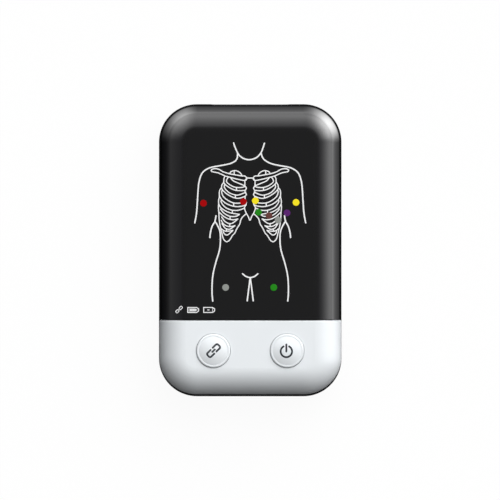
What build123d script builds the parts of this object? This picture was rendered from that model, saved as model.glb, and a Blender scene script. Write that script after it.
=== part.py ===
from build123d import *

import math
import os

# A wireless recorder for electrocardiograms, about the size of a hand, that runs on two small cells.
# It lies on its back: +Z is out of the front face, +Y is towards the end with the patient cable
# socket, and +X is to the right of someone who looks at the front. The origin is at the middle of
# the outline, on the surface that the back rests on. All lengths are in millimetres.

# Case
body_width = 65.0
body_length = 104.0
corner_radius = 13.5
front_roll_radius = 9.5
back_roll_radius = 4.5
parting_groove_depth = 0.35
parting_groove_height = 0.25

# How far the front pieces stand back from the edge of the dark rear housing, which shows around them
plate_reveal = 0.6
cap_side_reveal = 0.12
cap_end_reveal = 0.8

# Front face: a dark plate, bonded over the upper part of the front housing
faceplate_thickness = 1.3
faceplate_film = 0.1
front_wall = 1.2
faceplate_film_margin = 2.0
seam_height = 27.14
seam_gap = 0.16
seam_edge_radius = 0.3
faceplate_foot_gap = 0.1
seam_probe = 0.05

# Tongue and groove around the rim, with a seal at the bottom of the groove
rim_groove_depth = 2.0
rim_groove_width = 0.9
rim_tongue_gap = 0.05
rim_seal_height = 0.8

# Fastening of the housings
case_screw_edge_distance = 7.0
case_screw_radius = 1.1
case_screw_hole_gap = 0.15
case_screw_thread_gap = 0.02
case_screw_head_radius = 2.0
case_screw_head_height = 1.6
case_screw_head_gap = 0.2
case_screw_counterbore_depth = 3.0
case_screw_length = 12.0
case_screw_tip_gap = 1.0
case_screw_drive_radius = 0.9
case_screw_drive_depth = 0.8
screw_drive_sides = 6
rear_boss_radius = 3.2
front_boss_radius = 3.0

# Cells and the bay that holds them
cell_radius = 5.25
cell_length = 44.5
cell_edge_radius = 0.5
cell_nub_radius = 1.9
cell_nub_height = 0.8
cell_side_gap = 0.4
cell_door_gap = 0.2
cell_roof_gap = 0.4
bay_wall = 1.2
bay_board_gap = 0.4
bay_end_offset = 5.4
bay_end_wall = 1.2

# Cell contacts
contact_thickness = 0.4
contact_width = 8.4
contact_height = 9.0
contact_tab_width = 3.0
contact_slot_gap = 0.1
contact_corner_radius = 1.0
spring_length = 4.4
spring_wire_radius = 0.25
spring_base_radius = 3.6
spring_top_radius = 2.2
spring_turns = 4
spring_arcs_per_turn = 4
spring_samples_per_arc = 8

# Battery door, which slides off towards -Y
door_thickness = 1.9
door_gap = 0.1
door_ledge = 1.5
door_side_gap = 0.15
door_overlap = 4.5
door_end_height = 5.5
door_tongue_width = 1.2
door_tongue_thickness = 0.8
door_lip_half_width = 9.0
door_lip_length = 1.2
rail_overlap = 1.25
rail_thickness = 1.2
grip_length = 9.0
grip_width = 17.0
grip_depth = 0.7
grip_offset = 13.0
grip_rib_width = 0.8
grip_rib_height = 0.45
grip_rib_count = 4

# Blank label on the back
label_margin = 4.0
label_half_width = 18.0
label_length = 24.0
label_corner_radius = 2.0
label_recess_depth = 0.3
label_thickness = 0.2
label_gap = 0.3

# Patient cable socket at the top end
socket_mouth_width = 27.0
socket_mouth_height = 7.6
socket_mouth_depth = 5.0
socket_mouth_corner = 2.4
socket_mouth_flare = 0.5
socket_flare_angle = 45.0
socket_tunnel_wall = 1.2
socket_tunnel_board_gap = 0.6
socket_bulkhead = 1.2
socket_shell_width = 21.2
socket_shell_height = 6.4
socket_shell_wall = 0.6
socket_shell_length = 5.5
socket_shell_corner = 1.6
socket_shell_gap = 0.1
socket_tongue_width = 17.0
socket_tongue_thickness = 1.6
socket_tongue_setback = 0.9
insulator_half_width = 10.0
insulator_length = 5.5
insulator_foot = 0.6
contact_count_per_row = 10
blade_width = 0.9
blade_thickness = 0.2
blade_setback = 1.0
leg_spacing = 1.0

# Circuit board, hung from bosses under the front wall
board_standoff = 4.2
board_thickness = 1.6
board_edge_gap = 1.1
board_notch_gap = 0.4
board_notch_radius = 1.5
board_boss_radius = 2.5
board_boss_edge_distance = 6.8
board_boss_shield_offset = 4.0
board_boss_lamp_offset = 9.2
board_prop_radius = 1.5
board_pad_side = 3.0
board_pad_inset = 0.8
board_screw_radius = 0.8
board_screw_hole_gap = 0.1
board_screw_thread_gap = 0.02
board_screw_head_radius = 1.5
board_screw_head_height = 1.0
board_screw_length = 4.4
board_screw_drive_radius = 0.7
board_screw_drive_depth = 0.5
board_screw_tip_gap = 0.5

# Parts on the board
shield_length = 20.0
shield_width = 24.0
shield_height = 3.0
shield_wall = 0.2
shield_corner_radius = 0.8
shield_end_distance = 28.0
converter_side = 8.0
converter_height = 1.2
converter_spacing = 10.5
module_length = 18.0
module_width = 14.0
module_base_height = 0.8
module_shield_height = 2.0
module_shield_length = 12.0
module_shield_margin = 0.6
module_x = -11.0
module_y = 2.0
processor_side = 10.0
processor_height = 1.4
processor_corner_cut = 0.6
processor_x = 9.0
processor_y = 2.0
crystal_length = 3.2
crystal_width = 1.5
crystal_height = 0.8
crystal_gap = 1.5
inductor_side = 5.0
inductor_height = 3.0
inductor_corner_radius = 1.0
inductor_y = -16.0
capacitor_length = 3.5
capacitor_width = 2.8
capacitor_height = 1.9
capacitor_gap = 1.2
resistor_length = 1.6
resistor_width = 0.8
resistor_height = 0.5
resistor_spacing = 2.2
resistor_count = 10
resistor_gap = 1.5

# Push switches on the board, one below each button cap
switch_side = 6.0
switch_base_height = 1.7
switch_corner_radius = 0.5
switch_well_radius = 2.3
switch_well_depth = 1.3
switch_cover_height = 0.15
switch_cover_hole_gap = 0.15
plunger_radius = 1.3
plunger_collar_radius = 1.9
plunger_collar_height = 0.5
plunger_collar_gap = 0.1
plunger_rise = 0.6
dome_radius = 2.1
dome_thickness = 0.12

# Button caps
button_spacing = 26.12
button_end_distance = 16.4
button_radius = 6.0
button_gap = 0.15
button_rim_rise = 0.6
button_rim_rounding = 0.55
button_dome_radius = 5.0
button_dome_rise = 0.8
button_ring_width = 0.2
button_ring_depth = 0.07
button_flange_radius = 6.9
button_flange_thickness = 0.8
button_flange_gap = 0.1
button_post_radius = 1.6

# Indicator lamps, from left to right: radio link, cells full, cells low
lamp_row_offset = 3.66
lamp_edge_distance = 7.15
link_guide_width = 3.6
cell_guide_width = 4.9
guide_spacing = 0.8
guide_height = 3.1
guide_slot_gap = 0.1
guide_lamp_gap = 0.2
baffle_wall = 0.7
baffle_gap = 0.1
lamp_length = 1.6
lamp_width = 0.8
lamp_height = 0.6

# One overrun serves every cut
overrun = 1.0

# Heights and places that follow from the sizes above
front_total = front_wall + faceplate_film + faceplate_thickness
housing_inset = faceplate_thickness + faceplate_film
cell_axis_z = door_thickness + cell_door_gap + cell_radius
bay_roof_z = cell_axis_z + cell_radius + cell_roof_gap
bay_top_z = bay_roof_z + bay_wall
board_bottom_z = bay_top_z + bay_board_gap
board_top_z = board_bottom_z + board_thickness
ceiling_z = board_top_z + board_standoff
body_thickness = ceiling_z + front_total
rear_wall = door_thickness + door_gap
parting_height = board_bottom_z - socket_tunnel_board_gap - socket_tunnel_wall - socket_mouth_height / 2

end_y = body_length / 2
seam_y = -end_y + seam_height
cell_x = cell_radius + cell_side_gap
bay_half_width = 2 * cell_radius + 2 * cell_side_gap
bay_low_y = -end_y + bay_end_offset
bay_length = cell_length + 2 * contact_thickness + spring_length
bay_high_y = bay_low_y + bay_length
door_high_y = bay_high_y + door_overlap
door_half_width = bay_half_width + bay_wall + door_ledge
opening_half_width = door_half_width + door_side_gap
groove_half_width = opening_half_width + door_tongue_width
groove_low_z = rear_wall - door_tongue_thickness - 2 * door_gap
label_y = door_high_y + door_lip_length + label_margin + label_length / 2
socket_z = parting_height
mouth_floor_y = end_y - socket_mouth_depth
bulkhead_y = mouth_floor_y - socket_bulkhead
shell_low_y = mouth_floor_y - socket_shell_length
button_x = button_spacing / 2
button_y = -end_y + button_end_distance
shield_y = end_y - shield_end_distance
lamp_y = seam_y + lamp_row_offset
link_lamp_x = -body_width / 2 + lamp_edge_distance
full_lamp_x = link_lamp_x + link_guide_width / 2 + guide_spacing + cell_guide_width / 2
low_lamp_x = full_lamp_x + guide_spacing + cell_guide_width
case_screw_reach = (corner_radius - case_screw_edge_distance) / math.sqrt(2)
case_screw_x = body_width / 2 - corner_radius + case_screw_reach
case_screw_y = end_y - corner_radius + case_screw_reach
switch_cover_z = board_top_z + switch_base_height
switch_top_z = switch_cover_z + switch_cover_height
plunger_top_z = switch_top_z + plunger_rise
collar_top_z = switch_cover_z - plunger_collar_gap
collar_bottom_z = collar_top_z - plunger_collar_height
well_floor_z = switch_cover_z - switch_well_depth
flange_top_z = ceiling_z - button_flange_gap

case_screw_places = [(i * case_screw_x, j * case_screw_y) for i in (-1, 1) for j in (-1, 1)]
board_half_width = body_width / 2 - front_total - board_edge_gap
board_half_length = end_y - front_total - board_edge_gap
board_boss_x = board_half_width - board_boss_edge_distance
board_boss_rows = [shield_y - board_boss_shield_offset, lamp_y + board_boss_lamp_offset]
board_boss_places = [(side * board_boss_x, y) for y in board_boss_rows for side in (-1, 1)]
lamps = [
    (link_lamp_x, link_guide_width),
    (full_lamp_x, cell_guide_width),
    (low_lamp_x, cell_guide_width),
]


# Shared shapes


def box_between(low, high):
    """A box from its lowest corner to its highest corner."""
    sides = [b - a for a, b in zip(low, high)]
    return Pos(*low) * Box(*sides, align=(Align.MIN, Align.MIN, Align.MIN))


def level_box(x, y, width, length, low_z, height):
    """A box with its middle over x, y that stands on the height low_z."""
    return Pos(x, y, low_z) * Box(width, length, height, align=(Align.CENTER, Align.CENTER, Align.MIN))


def post(x, y, low_z, high_z, radius):
    """An upright round post between two heights."""
    return Pos(x, y, low_z) * Cylinder(
        radius, high_z - low_z, align=(Align.CENTER, Align.CENTER, Align.MIN)
    )


def rounded_slab(x, y, width, length, corner, low_z, height):
    """A flat slab with rounded corners that stands on the height low_z."""
    return extrude(Pos(x, y, low_z) * RectangleRounded(width, length, corner), height)


def body_form(inset):
    """The closed outer form of the case, moved in by inset on every side."""
    outline = RectangleRounded(body_width - 2 * inset, body_length - 2 * inset, corner_radius - inset)
    block = extrude(Pos(0, 0, inset) * outline, body_thickness - 2 * inset)
    block = fillet(block.edges().group_by(Axis.Z)[-1], front_roll_radius - inset)
    return fillet(block.edges().group_by(Axis.Z)[0], back_roll_radius - inset)


def front_form(side_reveal, end_reveal, inset):
    """The outer form of a front piece that stands back from the case's edge, moved in by inset."""
    outline = RectangleRounded(
        body_width - 2 * (side_reveal + inset),
        body_length - 2 * (end_reveal + inset),
        corner_radius - side_reveal - inset,
    )
    block = extrude(outline, body_thickness - inset)
    return fillet(block.edges().group_by(Axis.Z)[-1], front_roll_radius - inset)


def layer(low_z, high_z):
    """All the space between two heights."""
    return box_between((-body_width, -body_length, low_z), (body_width, body_length, high_z))


def space_above_seam(gap):
    """All the space on the socket's side of the seam, less a gap."""
    low = (-body_width, seam_y + gap, -overrun)
    return box_between(low, (body_width, body_length, 2 * body_thickness))


def group(shapes):
    """Several separate solids as one node."""
    return Compound(children=list(shapes))


def mouth_profile(width, height, corner):
    """The rounded outline of the socket, drawn square to its axis."""
    return Plane.XZ * Pos(0, socket_z) * RectangleRounded(width, height, corner)


def mouth_block(width, height, corner, low_y, high_y):
    """A rounded block along the socket's axis, between two places on it."""
    outline = Pos(0, high_y, 0) * mouth_profile(width, height, corner)
    return extrude(outline, high_y - low_y)


def socket_mouth():
    """The space of the socket's mouth, from its floor out past the flared edge at the end of the case."""
    mouth = mouth_block(
        socket_mouth_width, socket_mouth_height, socket_mouth_corner, mouth_floor_y, end_y + overrun
    )
    flare = mouth_profile(
        socket_mouth_width + 2 * socket_mouth_flare,
        socket_mouth_height + 2 * socket_mouth_flare,
        socket_mouth_corner + socket_mouth_flare,
    )
    return mouth + extrude(Pos(0, end_y, 0) * flare, socket_mouth_flare, taper=socket_flare_angle)


def socket_tunnel():
    """The walls around the mouth and the bulkhead at its floor, still solid."""
    width = socket_mouth_width + 2 * socket_tunnel_wall
    height = socket_mouth_height + 2 * socket_tunnel_wall
    return mouth_block(width, height, socket_mouth_corner + socket_tunnel_wall, bulkhead_y, end_y)


def socket_shell_hole():
    """The hole in the bulkhead that the metal shell passes through."""
    width = socket_shell_width + 2 * socket_shell_gap
    height = socket_shell_height + 2 * socket_shell_gap
    corner = socket_shell_corner + socket_shell_gap
    return mouth_block(width, height, corner, bulkhead_y - overrun, mouth_floor_y + overrun)


def rim_ring(outer_inset, inner_inset, low_z, high_z):
    """A ring that follows the case's wall, open where the socket's tunnel crosses it."""
    ring = (body_form(outer_inset) - body_form(inner_inset)) & layer(low_z, high_z)
    half_width = socket_mouth_width / 2 + socket_tunnel_wall
    return ring - box_between((-half_width, 0, -overrun), (half_width, body_length, body_thickness))


def round_seam(shape, side_reveal, end_reveal):
    """Rounds the edges that a front piece shows along the seam."""
    inner = front_form(side_reveal, end_reveal, seam_probe)
    in_seam = shape.edges().filter_by_position(Axis.Y, seam_y - seam_gap, seam_y + seam_gap)
    outer = in_seam.filter_by(lambda edge: not inner.is_inside(edge @ 0.5))
    return fillet(outer, seam_edge_radius)


# Housings


def battery_bay():
    """The tub for the cells, with the rails over the door's tongues, the wall behind the door's end
    and two pads on its roof that back the board under the buttons."""
    inner_form = body_form(rear_wall)
    bay = box_between(
        (-bay_half_width - bay_wall, bay_low_y - bay_end_wall, rear_wall),
        (bay_half_width + bay_wall, bay_high_y + bay_end_wall, bay_top_z),
    )
    rail_half_width = groove_half_width + rail_overlap
    rail_high_y = door_high_y + door_lip_length + door_gap + rail_overlap
    rails = box_between(
        (-rail_half_width, -end_y, rear_wall),
        (rail_half_width, rail_high_y, rear_wall + rail_thickness),
    )
    end_wall = box_between(
        (-rail_half_width, -end_y, rear_wall),
        (rail_half_width, -end_y + rear_wall + bay_end_wall, parting_height),
    )
    tub = (bay + rails + end_wall) & inner_form
    pad_x = bay_half_width + bay_wall - board_pad_inset - board_pad_side / 2
    for x in (-pad_x, pad_x):
        tub += level_box(x, button_y, board_pad_side, board_pad_side, bay_top_z, bay_board_gap)
    return tub


def bay_space():
    """The space that the cells and their contacts fill."""
    return box_between(
        (-bay_half_width, bay_low_y, -overrun),
        (bay_half_width, bay_high_y, bay_roof_z),
    )


def door_opening():
    """The opening that the door closes, through the back and round the bottom end."""
    return box_between(
        (-opening_half_width, -end_y - overrun, -overrun),
        (opening_half_width, door_high_y + door_side_gap, door_end_height + door_side_gap),
    )


def door_grooves():
    """The grooves for the door's side tongues and for the lip at its inner end."""
    sides = box_between(
        (-groove_half_width, -end_y - overrun, groove_low_z),
        (groove_half_width, door_high_y + door_side_gap, rear_wall),
    )
    half_width = door_lip_half_width + door_side_gap
    lip = box_between(
        (-half_width, door_high_y - overrun, groove_low_z),
        (half_width, door_high_y + door_lip_length + door_side_gap, rear_wall),
    )
    return sides + lip


def contact_slots():
    """The slots in the bay's roof for the tabs of the two upper contacts."""
    width = contact_tab_width + 2 * contact_slot_gap
    depth = contact_thickness + contact_slot_gap
    slots = [
        box_between(
            (x - width / 2, bay_high_y - depth, bay_roof_z - overrun),
            (x + width / 2, bay_high_y, bay_top_z + overrun),
        )
        for x in (-cell_x, cell_x)
    ]
    return slots[0] + slots[1]


def make_rear_housing():
    """The back half of the case, up to the parting line."""
    lower = layer(-overrun, parting_height)
    shell = (body_form(0) - body_form(rear_wall)) & lower
    for x, y in case_screw_places:
        shell += post(x, y, 0, parting_height, rear_boss_radius) & body_form(rear_wall / 2)
    shell -= door_opening()
    shell += battery_bay()
    shell += socket_tunnel() & lower & body_form(0)
    groove_low = parting_height - rim_groove_depth
    shell -= rim_ring(rear_wall - rim_groove_width, rear_wall, groove_low, parting_height + overrun)
    shell -= (body_form(0) - body_form(parting_groove_depth)) & layer(
        parting_height - parting_groove_height, parting_height + overrun
    )
    shell -= socket_mouth() + socket_shell_hole()
    shell -= door_grooves()
    shell -= bay_space()
    shell -= contact_slots()
    for x, y in case_screw_places:
        head_space = case_screw_head_radius + case_screw_head_gap
        shell -= post(x, y, -overrun, case_screw_counterbore_depth, head_space)
        shell -= post(x, y, 0, parting_height + overrun, case_screw_radius + case_screw_hole_gap)
    shell -= rounded_slab(
        0,
        label_y,
        2 * label_half_width + 2 * label_gap,
        label_length + 2 * label_gap,
        label_corner_radius + label_gap,
        -overrun,
        overrun + label_recess_depth,
    )
    return shell


def guide_block(x, width, gap, low_z, high_z):
    """An upright block around one light guide, wider than it by a gap."""
    return level_box(x, lamp_y, width + 2 * gap, guide_height + 2 * gap, low_z, high_z - low_z)


def make_front_housing():
    """The front half of the case, set back where the dark plate covers it."""
    upper = layer(parting_height, 2 * body_thickness)
    covered = space_above_seam(-seam_gap / 2)
    cap = front_form(cap_side_reveal, cap_end_reveal, 0)
    outer = (cap - covered) + (body_form(housing_inset) & covered)
    shell = round_seam((outer - body_form(front_total)) & upper, cap_side_reveal, cap_end_reveal)
    for x, y in case_screw_places:
        shell += post(x, y, parting_height, ceiling_z, front_boss_radius) & body_form(housing_inset)
    for x, y in board_boss_places:
        shell += post(x, y, board_top_z, ceiling_z, board_boss_radius)
    shell += post(0, button_y, board_top_z, ceiling_z, board_prop_radius)
    shell += socket_tunnel() & upper & body_form(housing_inset)
    shell += rim_ring(
        rear_wall - rim_groove_width + rim_tongue_gap,
        rear_wall - rim_tongue_gap,
        parting_height - rim_groove_depth + rim_seal_height,
        parting_height,
    )
    shell -= socket_mouth() + socket_shell_hole()
    screw_tip = case_screw_counterbore_depth + case_screw_length + case_screw_tip_gap
    for x, y in case_screw_places:
        shell -= post(
            x, y, parting_height - overrun, screw_tip, case_screw_radius + case_screw_thread_gap
        )
    for x, y in board_boss_places:
        tip = board_bottom_z + board_screw_length + board_screw_tip_gap
        shell -= post(x, y, board_top_z - overrun, tip, board_screw_radius + board_screw_thread_gap)
    for x in (-button_x, button_x):
        shell -= post(x, button_y, ceiling_z - overrun, body_thickness + overrun, button_radius + button_gap)
    for x, width in lamps:
        shell -= guide_block(x, width, guide_slot_gap, board_top_z, body_thickness)
    return shell


def make_faceplate():
    """The glossy dark plate that wraps the front housing down to the parting line."""
    plate = front_form(plate_reveal, plate_reveal, 0) - body_form(faceplate_thickness)
    plate &= layer(parting_height + faceplate_foot_gap, 2 * body_thickness)
    plate &= space_above_seam(seam_gap / 2)
    return round_seam(plate, plate_reveal, plate_reveal) - socket_mouth()


def make_faceplate_film():
    """The bonding film between the dark plate and the front wall, cut out over the lamps."""
    half_width = body_width / 2 - front_roll_radius - faceplate_film_margin
    high_y = end_y - front_roll_radius - faceplate_film_margin
    low_y = seam_y + faceplate_film_margin
    film = rounded_slab(
        0,
        (low_y + high_y) / 2,
        2 * half_width,
        high_y - low_y,
        corner_radius - front_roll_radius,
        body_thickness - housing_inset,
        faceplate_film,
    )
    for x, width in lamps:
        film -= guide_block(x, width, faceplate_film_margin / 2, ceiling_z, body_thickness)
    return film


def make_housing_seal():
    """The soft seal that the rim's tongue presses into the bottom of the groove."""
    low = parting_height - rim_groove_depth
    return rim_ring(
        rear_wall - rim_groove_width + rim_tongue_gap,
        rear_wall - rim_tongue_gap,
        low,
        low + rim_seal_height,
    )


def screw(x, y, seat_z, shank_radius, length, head_radius, head_height, drive_radius, drive_depth):
    """A round-headed screw that points up, with its head below the height seat_z."""
    head = post(x, y, seat_z - head_height, seat_z, head_radius)
    head = chamfer(head.edges().group_by(Axis.Z)[0], head_height / 3)
    shank = post(x, y, seat_z, seat_z + length, shank_radius)
    shank = chamfer(shank.edges().group_by(Axis.Z)[-1], shank_radius / 2)
    drive = extrude(
        Pos(x, y, seat_z - head_height) * RegularPolygon(drive_radius, screw_drive_sides), drive_depth
    )
    return head + shank - drive


def make_housing_screws():
    """The four screws that hold the housings together, put in from the back."""
    return group(
        screw(
            x,
            y,
            case_screw_counterbore_depth,
            case_screw_radius,
            case_screw_length,
            case_screw_head_radius,
            case_screw_head_height,
            case_screw_drive_radius,
            case_screw_drive_depth,
        )
        for x, y in case_screw_places
    )


def make_rear_label():
    """The blank label in its recess on the back."""
    return rounded_slab(
        0,
        label_y,
        2 * label_half_width,
        label_length,
        label_corner_radius,
        label_recess_depth - label_thickness,
        label_thickness,
    )


# Battery door


def make_battery_door():
    """The door over the cells, with its curved end, tongues, lip and thumb grip."""
    skin = body_form(0) - body_form(door_thickness)
    door = skin & box_between(
        (-door_half_width, -end_y - overrun, -overrun), (door_half_width, door_high_y, door_end_height)
    )
    tongue_low = rear_wall - door_gap - door_tongue_thickness
    tongue_high = rear_wall - door_gap
    door += box_between(
        (-door_half_width - door_tongue_width, -end_y + back_roll_radius, tongue_low),
        (door_half_width + door_tongue_width, door_high_y, tongue_high),
    )
    door += box_between(
        (-door_lip_half_width, door_high_y - overrun, tongue_low),
        (door_lip_half_width, door_high_y + door_lip_length, tongue_high),
    )
    grip_y = -end_y + grip_offset
    dish = extrude(Pos(0, grip_y) * Ellipse(grip_width / 2, grip_length / 2), grip_depth)
    pitch = grip_length / (grip_rib_count + 1)
    for number in range(grip_rib_count):
        y = grip_y + (number - (grip_rib_count - 1) / 2) * pitch
        dish -= level_box(0, y, grip_width, grip_rib_width, grip_depth - grip_rib_height, body_thickness)
    return door - dish


# Cells and contacts


def make_cell(x, towards):
    """One cell, with its nub towards +Y (1) or -Y (-1)."""
    can_length = cell_length - cell_nub_height
    can = Cylinder(cell_radius, can_length)
    can = fillet(can.edges().filter_by(GeomType.CIRCLE), cell_edge_radius)
    nub = Pos(0, 0, can_length / 2 + cell_nub_height / 2) * Cylinder(cell_nub_radius, cell_nub_height)
    cell = Pos(0, 0, -cell_nub_height / 2) * (can + nub)
    if towards > 0:
        middle = bay_high_y - contact_thickness - cell_length / 2
    else:
        middle = bay_low_y + contact_thickness + cell_length / 2
    return Pos(x, middle, cell_axis_z) * Rot(-90 * towards, 0, 0) * cell


def contact_plate(x, low_y):
    """One upright contact plate behind the end of a cell."""
    low_z = cell_axis_z - contact_height / 2
    plate = box_between(
        (x - contact_width / 2, low_y, low_z),
        (x + contact_width / 2, low_y + contact_thickness, low_z + contact_height),
    )
    return fillet(plate.edges().filter_by(Axis.Y), contact_corner_radius)


def tabbed_contact(x):
    """A plate at the upper end of the bay, with a tab up to the board."""
    tab = box_between(
        (x - contact_tab_width / 2, bay_high_y - contact_thickness, cell_axis_z),
        (x + contact_tab_width / 2, bay_high_y, board_bottom_z),
    )
    return contact_plate(x, bay_high_y - contact_thickness) + tab


def make_bridge_contact():
    """The plate at the lower end of the bay that joins the two cells."""
    low_z = cell_axis_z - contact_height / 2
    reach = cell_x + contact_width / 2
    plate = box_between(
        (-reach, bay_low_y, low_z), (reach, bay_low_y + contact_thickness, low_z + contact_height)
    )
    return fillet(plate.edges().filter_by(Axis.Y), contact_corner_radius)


def biarc(start, start_way, end, end_way):
    """Two arcs from start to end that leave and arrive along the given directions."""
    span = end - start
    ways = start_way + end_way
    across = 2 * (1 - start_way.dot(end_way))
    along = span.dot(ways)
    reach = (math.sqrt(along**2 + across * span.dot(span)) - along) / across
    joint = (start + start_way * reach + end - end_way * reach) / 2
    joint_way = (end - end_way * reach - start - start_way * reach).normalized()
    return [TangentArc(start, joint, tangent=start_way), TangentArc(joint, end, tangent=joint_way)]


def conical_spring(x, base_y, towards):
    """A conical spring whose wide end stands on a contact plate at base_y."""
    steps = spring_turns * spring_arcs_per_turn
    height = spring_length - 2 * spring_wire_radius
    radius_drop = (spring_base_radius - spring_top_radius) / steps

    def point(step):
        angle = 2 * math.pi * step / spring_arcs_per_turn
        radius = spring_base_radius - radius_drop * step
        rise = spring_wire_radius + height * step / steps
        return Vector(
            x + radius * math.cos(angle), base_y + towards * rise, cell_axis_z + radius * math.sin(angle)
        )

    def way(step):
        angle = 2 * math.pi * step / spring_arcs_per_turn
        radius = spring_base_radius - radius_drop * step
        turn = 2 * math.pi / spring_arcs_per_turn
        return Vector(
            -radius_drop * math.cos(angle) - radius * turn * math.sin(angle),
            towards * height / steps,
            -radius_drop * math.sin(angle) + radius * turn * math.cos(angle),
        ).normalized()

    arcs = []
    for step in range(steps):
        arcs += biarc(point(step), way(step), point(step + 1), way(step + 1))
    path = Wire(arcs)
    section = Plane(origin=point(0), z_dir=way(0)) * Circle(spring_wire_radius)
    report_spring(path)
    return sweep(section, path=path)


def report_spring(path):
    """Prints the least gap between the spring's turns, measured on points along its wire."""
    count = spring_turns * spring_arcs_per_turn * spring_samples_per_arc
    points = [path.position_at(number / count) for number in range(count + 1)]
    apart = count // spring_turns // 2
    nearest = min(
        (points[i] - points[j]).length
        for i in range(len(points))
        for j in range(i + apart, len(points))
    )
    print("spring: least gap between turns", round(nearest - 2 * spring_wire_radius, 3))


# Patient cable socket


def make_socket_shell():
    """The metal shell around the socket's contacts, open at both ends."""
    outer = mouth_block(
        socket_shell_width, socket_shell_height, socket_shell_corner, shell_low_y, mouth_floor_y
    )
    inner = mouth_block(
        socket_shell_width - 2 * socket_shell_wall,
        socket_shell_height - 2 * socket_shell_wall,
        socket_shell_corner - socket_shell_wall,
        shell_low_y - overrun,
        mouth_floor_y + overrun,
    )
    return outer - inner


def socket_blade(number, side):
    """One contact: a blade on the tongue, and a leg behind the insulator up to the board."""
    pitch = socket_tongue_width / contact_count_per_row
    x = (number - (contact_count_per_row - 1) / 2) * pitch
    back_y = shell_low_y - insulator_length
    leg_y = back_y - blade_thickness if side > 0 else back_y - blade_thickness - leg_spacing
    middle_z = socket_z + side * (socket_tongue_thickness + blade_thickness) / 2
    low_z = middle_z - blade_thickness / 2
    tip_y = mouth_floor_y - socket_tongue_setback - blade_setback
    blade = box_between(
        (x - blade_width / 2, leg_y, low_z), (x + blade_width / 2, tip_y, low_z + blade_thickness)
    )
    leg = box_between(
        (x - blade_width / 2, leg_y, low_z), (x + blade_width / 2, leg_y + blade_thickness, board_bottom_z)
    )
    return blade + leg


def socket_blades():
    """All the contacts, the upper row first."""
    return [socket_blade(number, side) for side in (1, -1) for number in range(contact_count_per_row)]


def make_socket_insulator():
    """The plastic block behind the shell, with the tongue and a foot up to the board."""
    back_y = shell_low_y - insulator_length
    half_height = socket_shell_height / 2
    block = box_between(
        (-insulator_half_width, back_y, socket_z - half_height),
        (insulator_half_width, shell_low_y, board_bottom_z),
    )
    tongue_tip_y = mouth_floor_y - socket_tongue_setback
    tongue = box_between(
        (-socket_tongue_width / 2, back_y, socket_z - socket_tongue_thickness / 2),
        (socket_tongue_width / 2, tongue_tip_y, socket_z + socket_tongue_thickness / 2),
    )
    plug = mouth_block(
        socket_shell_width - 2 * socket_shell_wall,
        socket_shell_height - 2 * socket_shell_wall,
        socket_shell_corner - socket_shell_wall,
        shell_low_y,
        shell_low_y + insulator_foot,
    )
    insulator = block + tongue + plug
    for blade in socket_blades():
        insulator -= blade
    return insulator


# Circuit board and the parts on it


def make_main_board():
    """The board, cut back at its corners for the screw bosses."""
    notch_x = case_screw_x - front_boss_radius - board_notch_gap
    notch_y = case_screw_y - front_boss_radius - board_notch_gap
    outline = Rectangle(2 * board_half_width, 2 * notch_y) + Rectangle(2 * notch_x, 2 * board_half_length)
    board = extrude(Pos(0, 0, board_bottom_z) * outline, board_thickness)
    board = fillet(board.edges().filter_by(Axis.Z), board_notch_radius)
    for x, y in board_boss_places:
        board -= post(
            x, y, board_bottom_z - overrun, board_top_z + overrun, board_screw_radius + board_screw_hole_gap
        )
    return board


def make_board_screws():
    """The screws that hold the board to its bosses."""
    return group(
        screw(
            x,
            y,
            board_bottom_z,
            board_screw_radius,
            board_screw_length,
            board_screw_head_radius,
            board_screw_head_height,
            board_screw_drive_radius,
            board_screw_drive_depth,
        )
        for x, y in board_boss_places
    )


def can(x, y, width, length, low_z, height):
    """A thin metal can, open towards the board."""
    outer = rounded_slab(x, y, width, length, shield_corner_radius, low_z, height)
    outer = fillet(outer.edges().group_by(Axis.Z)[-1], shield_corner_radius / 2)
    inner_width = width - 2 * shield_wall
    inner_length = length - 2 * shield_wall
    return outer - level_box(x, y, inner_width, inner_length, low_z - overrun, overrun + height - shield_wall)


def make_input_shield():
    """The can over the electrode input circuits."""
    return can(0, shield_y, shield_width, shield_length, board_top_z, shield_height)


def make_input_converters():
    """The two converter chips under the can."""
    return group(
        level_box(x, shield_y, converter_side, converter_side, board_top_z, converter_height)
        for x in (-converter_spacing / 2, converter_spacing / 2)
    )


def make_wireless_module():
    """The small board of the radio module."""
    return level_box(module_x, module_y, module_width, module_length, board_top_z, module_base_height)


def make_wireless_shield():
    """The can on the radio module, which leaves the aerial end bare."""
    width = module_width - 2 * module_shield_margin
    y = module_y - module_length / 2 + module_shield_margin + module_shield_length / 2
    low_z = board_top_z + module_base_height
    return can(module_x, y, width, module_shield_length, low_z, module_shield_height)


def make_processor():
    """The processor, with one corner cut to show which way round it goes."""
    chip = level_box(processor_x, processor_y, processor_side, processor_side, board_top_z, processor_height)
    corner = chip.edges().filter_by(Axis.Z).sort_by(Axis.X)[0:2].sort_by(Axis.Y)[0]
    return chamfer(corner, processor_corner_cut)


def make_crystal():
    """The processor's crystal."""
    y = processor_y - processor_side / 2 - crystal_gap - crystal_width / 2
    return level_box(processor_x, y, crystal_length, crystal_width, board_top_z, crystal_height)


def make_boost_inductor():
    """The coil of the voltage converter."""
    return rounded_slab(
        0, inductor_y, inductor_side, inductor_side, inductor_corner_radius, board_top_z, inductor_height
    )


def make_bulk_capacitors():
    """The two capacitors beside the coil."""
    reach = inductor_side / 2 + capacitor_gap + capacitor_length / 2
    return group(
        level_box(x, inductor_y, capacitor_length, capacitor_width, board_top_z, capacitor_height)
        for x in (-reach, reach)
    )


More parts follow.
